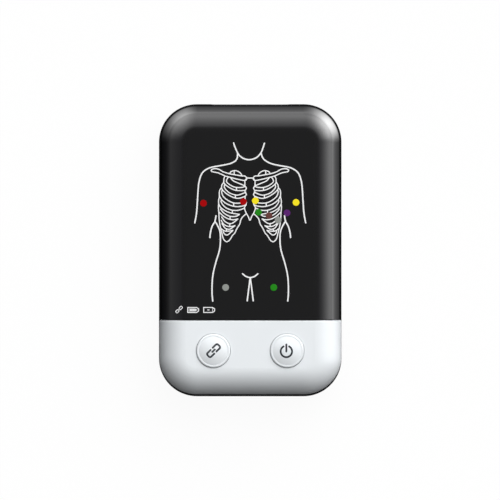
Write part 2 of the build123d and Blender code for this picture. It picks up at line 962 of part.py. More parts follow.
def make_protection_resistors():
    """One resistor for each electrode lead, in a row beside the input can."""
    y = shield_y + shield_length / 2 + resistor_gap + resistor_length / 2
    middle = (resistor_count - 1) / 2
    places = [(number - middle) * resistor_spacing for number in range(resistor_count)]
    return group(
        level_box(x, y, resistor_width, resistor_length, board_top_z, resistor_height) for x in places
    )


# Indicator lamps


def make_status_lamps():
    """One lamp chip under each light guide."""
    return group(level_box(x, lamp_y, lamp_length, lamp_width, board_top_z, lamp_height) for x, _ in lamps)


def make_light_guides():
    """The clear blocks that carry each lamp's light to the back of the dark plate."""
    form = body_form(faceplate_thickness + faceplate_film / 2)
    low_z = board_top_z + lamp_height + guide_lamp_gap
    return group(guide_block(x, width, 0, low_z, body_thickness) & form for x, width in lamps)


def make_light_baffle():
    """The opaque block that keeps the light of the lamps apart."""
    low_x = link_lamp_x - link_guide_width / 2 - baffle_wall
    high_x = low_lamp_x + cell_guide_width / 2 + baffle_wall
    half_height = guide_height / 2 + baffle_wall
    block = box_between(
        (low_x, lamp_y - half_height, board_top_z), (high_x, lamp_y + half_height, ceiling_z - baffle_gap)
    )
    block &= body_form(front_total + baffle_gap)
    for x, width in lamps:
        block -= guide_block(x, width, baffle_gap, board_top_z - overrun, body_thickness)
    return block


# Buttons and their switches


def make_switch_base(x):
    """The plastic base of a push switch, with a well for its dome."""
    base = rounded_slab(
        x, button_y, switch_side, switch_side, switch_corner_radius, board_top_z, switch_base_height
    )
    return base - post(x, button_y, well_floor_z, switch_cover_z + overrun, switch_well_radius)


def make_switch_cover(x):
    """The metal plate that keeps the plunger in."""
    plate = rounded_slab(
        x, button_y, switch_side, switch_side, switch_corner_radius, switch_cover_z, switch_cover_height
    )
    hole = plunger_radius + switch_cover_hole_gap
    return plate - post(x, button_y, switch_cover_z - overrun, switch_top_z + overrun, hole)


def ball_cap(x, y, base_z, radius, rise):
    """The solid cap of a ball, with the given base radius and rise."""
    ball_radius = (radius**2 + rise**2) / (2 * rise)
    ball = Pos(x, y, base_z + rise - ball_radius) * Sphere(ball_radius)
    return ball & post(x, y, base_z, base_z + rise, radius)


def make_switch_dome(x):
    """The thin metal dome that snaps under the plunger."""
    rise = collar_bottom_z - well_floor_z
    outer = ball_cap(x, button_y, well_floor_z, dome_radius, rise)
    return outer - ball_cap(x, button_y, well_floor_z, dome_radius - dome_thickness, rise - dome_thickness)


def make_switch_plunger(x):
    """The plunger between the dome and the cap, with a collar under the cover."""
    stem = post(x, button_y, collar_bottom_z, plunger_top_z, plunger_radius)
    return stem + post(x, button_y, collar_bottom_z, collar_top_z, plunger_collar_radius)


def make_button_cap(x):
    """A round cap with a shallow dome, a fine ring, a flange and a post to the plunger."""
    rim_z = body_thickness + button_rim_rise
    rim = post(x, button_y, flange_top_z, rim_z, button_radius)
    rim = fillet(rim.edges().group_by(Axis.Z)[-1], button_rim_rounding)
    cap = rim + ball_cap(x, button_y, rim_z, button_dome_radius, button_dome_rise)
    flange_low_z = flange_top_z - button_flange_thickness
    cap += post(x, button_y, flange_low_z, flange_top_z, button_flange_radius)
    cap += post(x, button_y, plunger_top_z, flange_low_z, button_post_radius)
    ring_low_z = rim_z - button_ring_depth
    ring = post(x, button_y, ring_low_z, rim_z + overrun, button_dome_radius + button_ring_width)
    return cap - (ring - post(x, button_y, ring_low_z, rim_z + overrun, button_dome_radius))


# Every node and the shape it holds
nodes = {
    "rear_housing": make_rear_housing(),
    "front_housing": make_front_housing(),
    "faceplate": make_faceplate(),
    "faceplate_film": make_faceplate_film(),
    "housing_seal": make_housing_seal(),
    "housing_screws": make_housing_screws(),
    "rear_label": make_rear_label(),
    "battery_door": make_battery_door(),
    "battery_cell_left": make_cell(-cell_x, 1),
    "battery_cell_right": make_cell(cell_x, -1),
    "positive_contact": tabbed_contact(-cell_x),
    "negative_contact": tabbed_contact(cell_x),
    "bridge_contact": make_bridge_contact(),
    "negative_spring": conical_spring(cell_x, bay_high_y - contact_thickness, -1),
    "bridge_spring": conical_spring(-cell_x, bay_low_y + contact_thickness, 1),
    "socket_shell": make_socket_shell(),
    "socket_insulator": make_socket_insulator(),
    "socket_contacts": group(socket_blades()),
    "main_board": make_main_board(),
    "board_screws": make_board_screws(),
    "input_shield": make_input_shield(),
    "input_converters": make_input_converters(),
    "wireless_module": make_wireless_module(),
    "wireless_shield": make_wireless_shield(),
    "processor": make_processor(),
    "crystal": make_crystal(),
    "boost_inductor": make_boost_inductor(),
    "bulk_capacitors": make_bulk_capacitors(),
    "protection_resistors": make_protection_resistors(),
    "status_lamps": make_status_lamps(),
    "light_guides": make_light_guides(),
    "light_baffle": make_light_baffle(),
    "link_switch_base": make_switch_base(-button_x),
    "link_switch_cover": make_switch_cover(-button_x),
    "link_switch_dome": make_switch_dome(-button_x),
    "link_switch_plunger": make_switch_plunger(-button_x),
    "link_button_cap": make_button_cap(-button_x),
    "power_switch_base": make_switch_base(button_x),
    "power_switch_cover": make_switch_cover(button_x),
    "power_switch_dome": make_switch_dome(button_x),
    "power_switch_plunger": make_switch_plunger(button_x),
    "power_button_cap": make_button_cap(button_x),
}

os.makedirs("parts", exist_ok=True)
for name, shape in nodes.items():
    export_step(shape, f"parts/{name}.step")
print("body thickness", round(body_thickness, 2), "nodes", len(nodes))
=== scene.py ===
import math

import bmesh
import bpy
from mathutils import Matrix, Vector


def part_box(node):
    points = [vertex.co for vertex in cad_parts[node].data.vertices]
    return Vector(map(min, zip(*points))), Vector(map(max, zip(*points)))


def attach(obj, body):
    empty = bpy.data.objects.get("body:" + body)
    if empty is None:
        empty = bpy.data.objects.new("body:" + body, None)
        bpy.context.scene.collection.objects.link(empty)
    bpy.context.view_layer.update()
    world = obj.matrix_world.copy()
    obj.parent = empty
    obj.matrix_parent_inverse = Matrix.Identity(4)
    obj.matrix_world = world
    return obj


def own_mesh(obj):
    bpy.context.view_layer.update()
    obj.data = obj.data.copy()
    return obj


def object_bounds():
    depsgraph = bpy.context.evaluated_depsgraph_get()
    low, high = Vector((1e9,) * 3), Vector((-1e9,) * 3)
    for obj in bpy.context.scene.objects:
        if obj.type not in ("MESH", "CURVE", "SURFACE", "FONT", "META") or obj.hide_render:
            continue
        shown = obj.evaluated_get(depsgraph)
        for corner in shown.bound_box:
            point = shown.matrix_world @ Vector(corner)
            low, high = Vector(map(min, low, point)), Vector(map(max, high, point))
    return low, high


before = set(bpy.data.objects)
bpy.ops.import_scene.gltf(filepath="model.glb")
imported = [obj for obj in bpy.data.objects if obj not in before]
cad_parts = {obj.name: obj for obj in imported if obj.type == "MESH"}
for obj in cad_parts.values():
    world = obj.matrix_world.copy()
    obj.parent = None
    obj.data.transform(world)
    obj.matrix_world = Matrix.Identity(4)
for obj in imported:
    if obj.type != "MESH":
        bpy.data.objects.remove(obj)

bl_info = {
    "name": "Heart monitor",
    "version": (1, 0, 0),
    "blender": (4, 5, 0),
    "location": "3D View > Sidebar > Heart monitor",
    "description": "Finishes, printed figure, icons and studio for a wireless heart monitor",
    "category": "Object",
}

# The solids and the properties are in metres. The drawn lines below are in millimetres, seen from
# the front, with the origin at the middle of the case.
MM = 0.001
cad_box = [list(corner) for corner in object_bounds()]
plate_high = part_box("faceplate")[1]

# Sizes of the solids that the looks follow: the ball that a button's dome is part of, the rolled edge
# of the front plate, and the case's corners seen from the front
DOME_RADIUS = 16.025 * MM
EDGE_ROLL = 9.5 * MM
CASE_CORNER = 13.5 * MM

# Fineness of the print: the gap between places on a line, steps in a stroke's round end, sides of a
# dot, steps in the power symbol's ring, how sharply a stroke may be mitred, how far the ink and the
# dots stand above the surface, and each stroke above the one before. The rings of a dot, from its foot
# to its middle, are shares of its radius and height.
LINE_STEP = 0.35 * MM
CAP_STEPS = 6
DOT_SIDES = 48
RING_STEPS = 72
SHARPEST_MITRE = 0.6
INK_HEIGHT = 0.012 * MM
DOT_HEIGHT = 0.05 * MM
INK_STEP = 0.0005 * MM
DOT_RINGS = ((1.0, -1.0), (1.0, 0.4), (0.97, 1.0), (0.5, 1.0))

# The values that cloudy noise mostly keeps between
CLOUDS = (0.3, 0.7)


# Lines of the printed figure. The neck and the start of each shoulder are drawn as they are, and each
# other line is one half, whose other half is its mirror image.

neck_line = [
    (-5.86, 37.95), (-5.5, 36.8), (-4.47, 34.5), (-3.4, 33.15), (-2.0, 32.35), (-0.3, 32.05),
    (1.35, 32.4), (2.7, 33.2), (3.85, 34.6), (4.6, 36.5), (5.02, 37.9),
]
shoulder_starts = [
    [(-4.47, 34.3), (-4.6, 32.7), (-5.2, 31.7), (-6.2, 31.05), (-7.6, 30.55)],
    [(3.83, 34.5), (4.2, 33.2), (4.9, 32.15), (6.0, 31.35), (7.65, 30.6)],
]
shoulder_line = [
    (10.2, 30.02), (13.4, 29.45), (15.1, 28.85), (16.6, 27.8), (17.5, 26.4), (18.1, 24.3),
    (18.4, 22.1), (18.7, 17.4), (19.0, 13.3), (19.62, 9.7),
]
inner_arm_line = [(12.13, 12.19), (12.52, 10.24), (13.55, 8.32), (14.12, 6.08), (14.28, 4.5)]
flank_line = [
    (12.52, 10.24), (11.77, 9.13), (10.8, 6.93), (10.53, 4.16), (10.85, 0.25), (12.16, -4.23),
    (13.12, -8.21), (13.48, -11.73), (13.51, -15.46), (13.27, -18.0),
]
groin_line = [(2.7, -8.35), (1.5, -9.3), (0.0, -9.72)]
leg_line = [(0.05, -9.84), (0.45, -13.0), (1.07, -17.9)]

# Lines of the rib cage: breastbone, collar bone, first rib, outline of the cage down to its margin,
# and both edges of each rib. They are mirrored about the middle of the cage.
cage_middle = (-0.1, 0)
breastbone_line = [
    (0, 25.53), (1.01, 25.53), (1.75, 24.7), (1.8, 23.95), (1.75, 22.8), (1.25, 22.0), (1.7, 21.15),
    (1.72, 20.5), (1.25, 19.8), (1.7, 19.0), (1.65, 17.9), (1.25, 17.0), (1.5, 15.9), (1.95, 15.05),
    (1.6, 13.8), (1.25, 13.05), (0.6, 11.9), (0, 10.6),
]
collar_bone_line = [
    (1.01, 25.53), (1.78, 26.25), (3.05, 26.34), (5.77, 26.8), (7.3, 27.1), (9.4, 27.75), (10.9, 28.6),
    (12.2, 28.88), (13.2, 28.75), (13.75, 28.25), (13.3, 27.8), (11.5, 27.45), (9.86, 26.8),
    (8.77, 26.3), (6.59, 25.71), (4.41, 25.16), (1.78, 24.71), (1.01, 25.45),
]
first_rib_line = [
    (7.22, 27.1), (6.77, 27.75), (6.0, 28.1), (5.3, 28.2), (4.4, 28.0), (3.5, 27.45), (3.05, 26.85),
    (2.78, 26.3),
]
cage_line = [
    (8.77, 26.25), (9.2, 25.4), (9.32, 24.1), (9.9, 23.2), (10.1, 22.1), (10.65, 21.4), (10.85, 20.3),
    (10.82, 19.0), (11.08, 17.7), (11.1, 16.3), (11.15, 14.9), (11.0, 13.2), (10.9, 11.0),
    (10.65, 9.1), (10.3, 7.4), (9.9, 5.9), (9.6, 4.6), (9.1, 3.6), (8.3, 3.0), (7.45, 3.35),
    (6.8, 4.2), (6.2, 5.2), (5.4, 6.05), (4.9, 7.1), (4.3, 8.2), (3.6, 9.3), (3.3, 10.5), (2.75, 11.6),
    (1.25, 13.05),
]
rib_lines = [
    [(6.86, 25.7), (6.23, 24.9), (5.5, 24.35), (3.7, 23.6), (1.78, 22.8)],
    [(7.68, 25.9), (8.3, 24.7), (8.0, 23.85), (6.2, 22.65), (4.4, 22.2), (2.6, 22.3), (1.78, 22.65)],
    [(9.25, 24.0), (8.75, 23.25), (7.15, 22.1), (5.3, 21.3), (3.5, 21.1), (1.7, 21.2)],
    [(8.95, 23.2), (9.08, 22.6), (8.8, 21.8), (7.3, 20.35), (5.3, 19.6), (3.9, 19.6), (1.5, 20.5)],
    [(10.1, 22.1), (9.65, 21.25), (8.4, 20.1), (6.6, 19.0), (4.8, 18.4), (3.4, 18.5), (1.7, 19.1)],
    [(9.85, 21.2), (10.0, 20.5), (9.4, 19.0), (7.7, 17.6), (5.75, 16.75), (3.5, 16.7), (1.8, 17.1)],
    [(10.65, 19.0), (10.2, 18.1), (8.8, 16.8), (6.95, 15.9), (4.8, 15.45), (2.6, 15.65), (1.35, 16.1)],
    [(10.1, 17.8), (10.2, 17.1), (9.15, 15.55), (7.5, 14.55), (5.7, 14.1), (3.9, 14.2), (2.0, 14.9)],
    [(11.05, 16.3), (10.2, 15.0), (8.6, 13.9), (6.8, 13.2), (5.0, 12.9), (3.75, 12.7)],
    [(3.75, 12.7), (4.3, 12.3), (5.1, 12.0), (7.0, 12.0), (8.8, 12.85), (10.0, 14.0), (10.4, 14.6)],
    [(10.7, 13.3), (9.3, 12.0), (7.5, 11.05), (5.7, 10.8), (4.3, 11.1)],
    [(4.3, 11.1), (5.3, 10.2), (6.4, 9.5), (7.5, 9.45), (8.95, 10.3), (10.05, 11.8)],
    [(10.15, 10.6), (9.4, 9.3), (8.0, 8.5), (6.6, 8.4), (5.3, 8.7)],
    [(5.3, 8.7), (6.6, 7.75), (7.5, 7.4), (8.8, 7.85), (9.9, 9.4)],
    [(10.1, 7.6), (9.3, 6.95), (8.4, 6.75), (7.1, 6.8), (6.05, 7.05)],
    [(6.05, 7.0), (6.8, 6.3), (8.0, 5.4), (8.95, 5.7), (9.5, 6.6)],
]
# Where bone turns to cartilage: sideways place, upper end and lower end of each tick
rib_ticks = [
    (5.59, 28.0, 26.85), (4.78, 22.2, 21.25), (5.14, 19.6, 18.55), (5.77, 16.75, 15.65),
    (6.23, 14.2, 13.1), (7.04, 12.0, 10.95), (7.13, 9.45, 8.4), (8.31, 7.6, 6.8),
]

# The electrodes of the figure: place and ink
electrode_spots = [
    ((-16.57, 16.63), "red"),
    ((16.22, 16.92), "yellow"),
    ((-2.42, 17.17), "red"),
    ((1.81, 17.52), "yellow"),
    ((2.95, 13.45), "green"),
    ((6.66, 12.25), "brown"),
    ((9.89, 10.65), "grey"),
    ((13.02, 13.22), "purple"),
    ((-8.71, -13.19), "grey"),
    ((8.32, -13.19), "green"),
]

# Icons over the indicator windows: their places, and from the middle of each, how far the link's
# rings stand off, the outline of a cell and its collar, how far the full cell's charge lies inside the
# outline, and the bars of charge
link_icon_place = (-25.21, -21.04)
full_cell_place = (-20.2, -21.15)
low_cell_place = (-14.55, -21.15)
link_icon_reach = 0.83
cell_outline = [
    (-1.93, -0.88), (1.21, -0.88), (1.93, -0.42), (1.93, 0.42), (1.21, 0.88), (-1.93, 0.88),
    (-1.93, -0.88),
]
cell_collar = [(1.21, 0.88), (1.21, -0.88)]
charge_inset = 0.46
full_cell_bar = [(-1.01, 0), (0.75, 0)]
low_cell_bar = [(-0.55, 0), (0, 0)]

# Symbols on the buttons, from the middles of the caps. The last value is the length of the link
# symbol's bar, as a share of the gap between the symbol's halves.
power_symbol_offset = (-0.28, -0.22)
power_bar_length = 2.45
link_symbol_offset = (0.08, 0.05)
link_bar_share = 1.1


# Lamps that glossy faces mirror: azimuth from +X towards +Y and how far it spreads, in degrees,
# brightness, how fast it falls off upwards, and how far in millimetres the shade beside the case's
# corners dims it. The second list's lamps hang higher, so the floor doesn't show them.
mirrored_lamps = [(37, 20.5, 16.2, 1.8, 27), (120, 21.5, 7.0, 1.05, 45)]
high_lamps = [(66, 20, 2.0, 0.55), (147, 15, 1.4, 1.0), (16, 9, 3.2, 1.6)]
high_lamp_rise = 0.3

# Even glow around them, at the horizon and from a quarter of the way up
even_glow = (0.08, 0.37)
even_glow_rise = 0.25

# The floor: how far it lies below the case, how bright it looks, how pale its paper is, and how much
# of that the camera doesn't see. The shade in glossy faces starts a little beside the case, and is at
# its shortest where the product of its direction's two parts reaches the last value.
floor_drop = 0.2 * MM
floor_brightness = 0.94
paper_tones = (0.115, 0.125)
paper_tone_unseen = 0.06
shade_start = 5 * MM
fully_aslant = 0.3


# Kinds of property


def colour_property(name, description, default):
    """A colour."""
    return bpy.props.FloatVectorProperty(
        name=name, description=description, subtype="COLOR", default=default, min=0, max=1
    )


def length_property(name, description, millimetres):
    """A length, whose default is given in millimetres."""
    return bpy.props.FloatProperty(
        name=name, description=description, unit="LENGTH", default=millimetres * MM, precision=6
    )


def share_property(name, description, default):
    """A share, from 0 to 1."""
    return bpy.props.FloatProperty(
        name=name, description=description, subtype="FACTOR", default=default, min=0, max=1
    )


def angle_property(name, description, degrees):
    """An angle, whose default is given in degrees."""
    return bpy.props.FloatProperty(
        name=name, description=description, subtype="ANGLE", default=math.radians(degrees)
    )


def amount_property(name, description, default):
    """A number that isn't below zero."""
    return bpy.props.FloatProperty(name=name, description=description, default=default, min=0)


# Properties


class CaseFinish(bpy.types.PropertyGroup):
    """Colours and textures of the case"""

    plate_colour: colour_property(
        "Front plate edge", "Colour of the front plate's polished edge", (0.0027, 0.0027, 0.0042)
    )
    # The flat face's colour is lighter than the edge's black. It holds a painted reflection of the sky in
    # place of the shine that the face leaves out.
    face_colour_with_painted_sky: colour_property(
        "Flat face", "Colour of the front plate's flat face", (0.0152, 0.0152, 0.0157)
    )
    face_shine: share_property("Flat face shine", "How strongly the flat face reflects", 0.004)
    plate_roughness: share_property("Front plate roughness", "How soft the plate's reflections are", 0.06)
    white_colour: colour_property(
        "White parts", "Colour of the lower front and the buttons", (0.85, 0.885, 0.91)
    )
    dark_colour: colour_property(
        "Back", "Colour of the back half and the battery door", (0.004, 0.004, 0.0045)
    )
    label_colour: colour_property("Back label", "Colour of the blank label", (0.62, 0.63, 0.64))
    grain_size: length_property("Grain", "Size of the moulded grain of the back", 0.35)


class FigurePrint(bpy.types.PropertyGroup):
    """Sizes and inks of the printed figure"""

    line_colour: colour_property("Lines", "Ink of the figure's lines", (0.93, 0.935, 0.94))
    body_stroke: length_property("Body stroke", "Width of the body's outline", 0.48)
    rib_stroke: length_property("Rib stroke", "Width of the rib cage's lines", 0.38)
    electrode_size: length_property("Electrode size", "Width of an electrode's dot", 2.4)
    red: colour_property("Red", "Ink of the red electrodes", (0.39, 0.001, 0.002))
    yellow: colour_property("Yellow", "Ink of the yellow electrodes", (0.98, 0.80, 0.02))
    green: colour_property("Green", "Ink of the green electrodes", (0.018, 0.243, 0.011))
    brown: colour_property("Brown", "Ink of the brown electrode", (0.139, 0.052, 0.046))
    grey: colour_property("Grey", "Ink of the grey electrodes", (0.29, 0.305, 0.285))
    purple: colour_property("Purple", "Ink of the purple electrode", (0.107, 0.018, 0.164))


class IndicatorPrint(bpy.types.PropertyGroup):
    """Sizes of the icons over the indicator windows"""

    icon_colour: colour_property("Icons", "Ink of the icons", (0.93, 0.935, 0.94))
    link_stroke: length_property("Link stroke", "Width of the link icon's lines", 0.3)
    link_length: length_property("Link length", "Length of one ring of the link icon", 1.17)
    link_width: length_property("Link width", "Width of one ring of the link icon", 0.8)
    link_corner: length_property("Link corner", "Radius of the ring's corners", 0.22)
    cell_stroke: length_property("Cell stroke", "Width of the cell icons' outline", 0.3)
    cell_bar: length_property("Charge bar", "Height of the bar in the full cell icon", 0.5)


class ButtonPrint(bpy.types.PropertyGroup):
    """Sizes of the symbols on the two buttons"""

    symbol_colour: colour_property("Symbols", "Ink of the button symbols", (0.045, 0.05, 0.058))
    ring_radius: length_property("Power ring", "Radius of the power symbol's ring", 2.02)
    ring_stroke: length_property("Power stroke", "Width of the power symbol's lines", 0.66)
    ring_gap: angle_property("Power gap", "Half the angle of the gap at the top of the ring", 29)
    link_stroke: length_property("Link stroke", "Width of the link symbol's lines", 0.66)
    link_reach: length_property("Link reach", "Half the length of the link symbol, less its stroke", 2.65)
    link_width: length_property(
        "Link width", "Width of the link symbol, between the middles of its lines", 1.85
    )
    link_corner: length_property("Link corner", "Radius of the link symbol's corners", 0.6)
    link_break: length_property(
        "Link break", "Half the gap between the symbol's halves, leaving out their round ends", 0.55
    )


class InsideFinish(bpy.types.PropertyGroup):
    """Colours of the parts inside"""

    board_colour: colour_property("Board", "Colour of the main board's mask", (0.012, 0.11, 0.045))
    module_colour: colour_property("Radio board", "Colour of the radio module's mask", (0.012, 0.035, 0.16))
    cell_colour: colour_property("Cell jacket", "Colour of the cells' printed jackets", (0.03, 0.06, 0.12))
    gold_colour: colour_property("Gold plating", "Colour of the socket's contacts", (0.83, 0.60, 0.24))


class StudioLook(bpy.types.PropertyGroup):
    """Light, floor and camera"""

    key_strength: amount_property("Key strength", "Brightness of the broad light", 5.0)
    key_azimuth: angle_property("Key azimuth", "Where the broad light stands, from +X towards +Y", 60.5)
    key_elevation: angle_property("Key height", "How high the broad light stands", 33)
    key_narrowness: amount_property("Key narrowness", "How closely the broad light is bunched", 3.87)
    sky_strength: amount_property("Sky strength", "Brightness of the even light from above", 0.33)
    mirrored_strength: amount_property("Mirrored strength", "Brightness of the mirrored lamps", 1.0)
    shade_reach: length_property("Shade reach", "Reach of the mirrored shade beside the case's sides", 105)
    floor_size: length_property("Floor", "Length of each side of the floor", 40000)
    lens: amount_property("Lens", "Focal length of the camera, for a sensor 36 mm wide", 500)
    view_width: length_property(
        "View width", "Width that the picture shows at the widest part of the case", 178.05
    )
    view_middle: bpy.props.FloatVectorProperty(
        name="View middle", description="Place that the camera looks down on, at the widest part",
        subtype="TRANSLATION", default=(-0.08 * MM, 0.08 * MM, 9 * MM), precision=6,
    )


# Shader graphs


def add_node(tree, kind, inputs=None, **settings):
    """Adds a node with its settings, and fills or links its inputs."""
    node = tree.nodes.new(kind)
    for name, value in settings.items():
        setattr(node, name, value)
    for name, value in (inputs or {}).items():
        if isinstance(value, bpy.types.NodeSocket):
            tree.links.new(value, node.inputs[name])
        else:
            node.inputs[name].default_value = value
    return node


def work_out(tree, operation, first, second=0.0):
    """The result of one sum on numbers or sockets."""
    return add_node(tree, "ShaderNodeMath", {0: first, 1: second}, operation=operation).outputs[0]


def times(tree, first, second):
    """Two numbers or sockets multiplied."""
    return work_out(tree, "MULTIPLY", first, second)


def plus(tree, first, second):
    """Two numbers or sockets added."""
    return work_out(tree, "ADD", first, second)


def minus(tree, first, second):
    """The second number or socket taken from the first."""
    return work_out(tree, "SUBTRACT", first, second)


def parts_of(tree, place):
    """The X, Y and Z of a place or direction."""
    return add_node(tree, "ShaderNodeSeparateXYZ", {0: place}).outputs


def vector_node(tree, operation, first, second=(0, 0, 0)):
    """A node with one sum on directions."""
    return add_node(tree, "ShaderNodeVectorMath", {0: first, 1: second}, operation=operation)


def mix_colours(tree, share, first, second):
    """A mix of two colours, by the share of the second."""
    return add_node(tree, "ShaderNodeMix", {0: share, 6: first, 7: second}, data_type="RGBA").outputs[2]


def grey(tree, value):
    """A grey colour from one number."""
    return add_node(tree, "ShaderNodeCombineColor", {0: value, 1: value, 2: value}).outputs[0]


def fade(tree, value, low, high, to_low=0.0, to_high=1.0, smooth=False):
    """A value carried from one range to another and held at its ends."""
    node = add_node(
        tree, "ShaderNodeMapRange",
        {"Value": value, "From Min": low, "From Max": high, "To Min": to_low, "To Max": to_high},
        interpolation_type="SMOOTHSTEP" if smooth else "LINEAR",
    )
    return node.outputs[0]


def within(tree, value, low, high, soft):
    """1 where a value lies between two others, with soft ends, and 0 elsewhere."""
    return times(tree, fade(tree, value, low, low + soft), fade(tree, value, high + soft, high))


def noise(tree, place, size, detail=3.0):
    """Cloudy noise whose spots have about the given size."""
    inputs = {"Vector": place, "Scale": 1 / size, "Detail": detail}
    return add_node(tree, "ShaderNodeTexNoise", inputs).outputs[0]


def stretched(tree, place, stretch):
    """Coordinates that are drawn out along some axes."""
    inputs = {"Vector": place, "Scale": [1 / part for part in stretch]}
    return add_node(tree, "ShaderNodeMapping", inputs).outputs[0]


def relief(tree, shader, height, depth):
    """Gives a shader small bumps of the given depth."""
    bump = add_node(tree, "ShaderNodeBump", {"Height": height, "Distance": depth})
    tree.links.new(bump.outputs[0], shader.inputs["Normal"])


def empty_tree(owner):
    """The node tree of a material or a world, without its usual nodes."""
    owner.use_nodes = True
    owner.node_tree.nodes.clear()
    return owner.node_tree


def new_finish(name, metallic=0.0, ior=1.5):
    """A material with a Principled shader, and the place on the object for its textures."""
    material = bpy.data.materials.get(name) or bpy.data.materials.new(name)
    tree = empty_tree(material)
    shader = add_node(tree, "ShaderNodeBsdfPrincipled", {"Metallic": metallic, "IOR": ior})
    output = add_node(tree, "ShaderNodeOutputMaterial")
    tree.links.new(shader.outputs[0], output.inputs["Surface"])
    place = add_node(tree, "ShaderNodeTexCoord").outputs["Object"]
    return material, tree, shader, place


def shaded(colour, factor):
    """A colour made darker or lighter, as a shader takes it."""
    return [min(1.0, part * factor) for part in colour[:3]] + [1.0]


def colour_and_roughness(tree, shader, share, colour, roughness, mottle, scatter):
    """Varies a shader's colour and roughness a little, by the same pattern."""
    colours = mix_colours(tree, share, shaded(colour, 1 - mottle), shaded(colour, 1 + mottle))
    tree.links.new(colours, shader.inputs["Base Color"])
    rough = fade(tree, share, *CLOUDS, roughness * (1 - scatter), roughness * (1 + scatter))
    tree.links.new(rough, shader.inputs["Roughness"])


# Finishes


def moulded_plastic(name, colour, roughness, grain, depth, mottle=0.03, shine=0.5):
    """Plastic from a textured mould, with faint flow marks in its colour. The size and depth of its
    grain are in millimetres."""
    material, tree, shader, place = new_finish(name)
    shader.inputs["Specular IOR Level"].default_value = shine
    flow = noise(tree, place, 14 * MM, detail=4)
    colour_and_roughness(tree, shader, flow, colour, roughness, mottle, scatter=0.12)
    relief(tree, shader, noise(tree, place, grain * MM, detail=2), depth * MM)
    return material


def polished_plate(case):
    """The deep black front plate: a glare-free flat face inside a polished, rolled edge, with the
    slight waviness of a moulding. The flat face's colour holds a painted reflection of the sky, in
    place of the shine that it leaves out."""
    material, tree, shader, place = new_finish("plate_polished_black", ior=1.52)
    haze = noise(tree, place, 25 * MM)
    colour_and_roughness(
        tree, shader, haze, case.plate_colour, case.plate_roughness, mottle=0.05, scatter=0.2
    )
    edge = shader.inputs["Base Color"].links[0].from_socket
    # The flat face's colour, lighter than the edge's, with the sky's reflection painted into it
    face = mix_colours(tree, haze, shaded(case.face_colour_with_painted_sky, 0.98), shaded(case.face_colour_with_painted_sky, 1.02))
    height = parts_of(tree, place)["Z"]
    blend_start, blend_end = plate_high.z - 0.3 * MM, plate_high.z - 0.005 * MM
    flat = fade(tree, height, blend_start, blend_end, smooth=True)
    tree.links.new(mix_colours(tree, flat, edge, face), shader.inputs["Base Color"])
    shine = fade(tree, flat, 0.0, 1.0, to_low=0.5, to_high=case.face_shine)
    tree.links.new(shine, shader.inputs["Specular IOR Level"])
    relief(tree, shader, noise(tree, place, 9 * MM, detail=1), 0.004 * MM)
    return material


def plated_metal(name, colour, roughness, stretch=(1, 1, 1), grain=0.3):
    """Plated metal with duller patches, and drawing marks along one way, whose size is in millimetres."""
    material, tree, shader, place = new_finish(name, metallic=1.0)
    patches = noise(tree, place, 4 * MM, detail=4)
    colour_and_roughness(tree, shader, patches, colour, roughness, mottle=0.08, scatter=0.3)
    marks = noise(tree, stretched(tree, place, stretch), grain * MM, detail=4)
    relief(tree, shader, marks, 0.004 * MM)
    return material


def printed_ink(name, colour):
    """Screen-printed ink: matt, with the fine speckle of the mesh."""
    material, tree, shader, place = new_finish(name)
    shader.inputs["Specular IOR Level"].default_value = 0.05
    speckle = noise(tree, place, 0.12 * MM, detail=2)
    colour_and_roughness(tree, shader, speckle, colour, roughness=0.45, mottle=0.05, scatter=0.15)
    relief(tree, shader, speckle, 0.002 * MM)
    return material


def masked_board(name, colour):
    """A circuit board: solder mask that is lighter over its copper lines, with bare gilt rings."""
    line_pitch, ring_pitch = 2.2 * MM, 3.1 * MM
    gilt = (0.62, 0.45, 0.18, 1)
    material, tree, shader, place = new_finish(name)
    inputs = {"Vector": place, "Scale": 1 / line_pitch, "Randomness": 0.85}
    cells = add_node(tree, "ShaderNodeTexVoronoi", inputs, distance="CHEBYCHEV", feature="F1")
    lines = work_out(tree, "PINGPONG", times(tree, cells.outputs["Distance"], 4.0), 0.5)
    copper = fade(tree, lines, 0.2, 0.3)
    inputs = {"Vector": place, "Scale": 1 / ring_pitch, "Randomness": 0.9}
    dots = add_node(tree, "ShaderNodeTexVoronoi", inputs, feature="F1").outputs["Distance"]
    ring = within(tree, dots, 0.05, 0.12, soft=0.01)
    mask = mix_colours(tree, copper, shaded(colour, 0.75), shaded(colour, 1.7))
    tree.links.new(mix_colours(tree, ring, mask, gilt), shader.inputs["Base Color"])
    rough = fade(tree, noise(tree, place, 2 * MM), *CLOUDS, to_low=0.22, to_high=0.36)
    tree.links.new(rough, shader.inputs["Roughness"])
    relief(tree, shader, copper, 0.03 * MM)
    return material


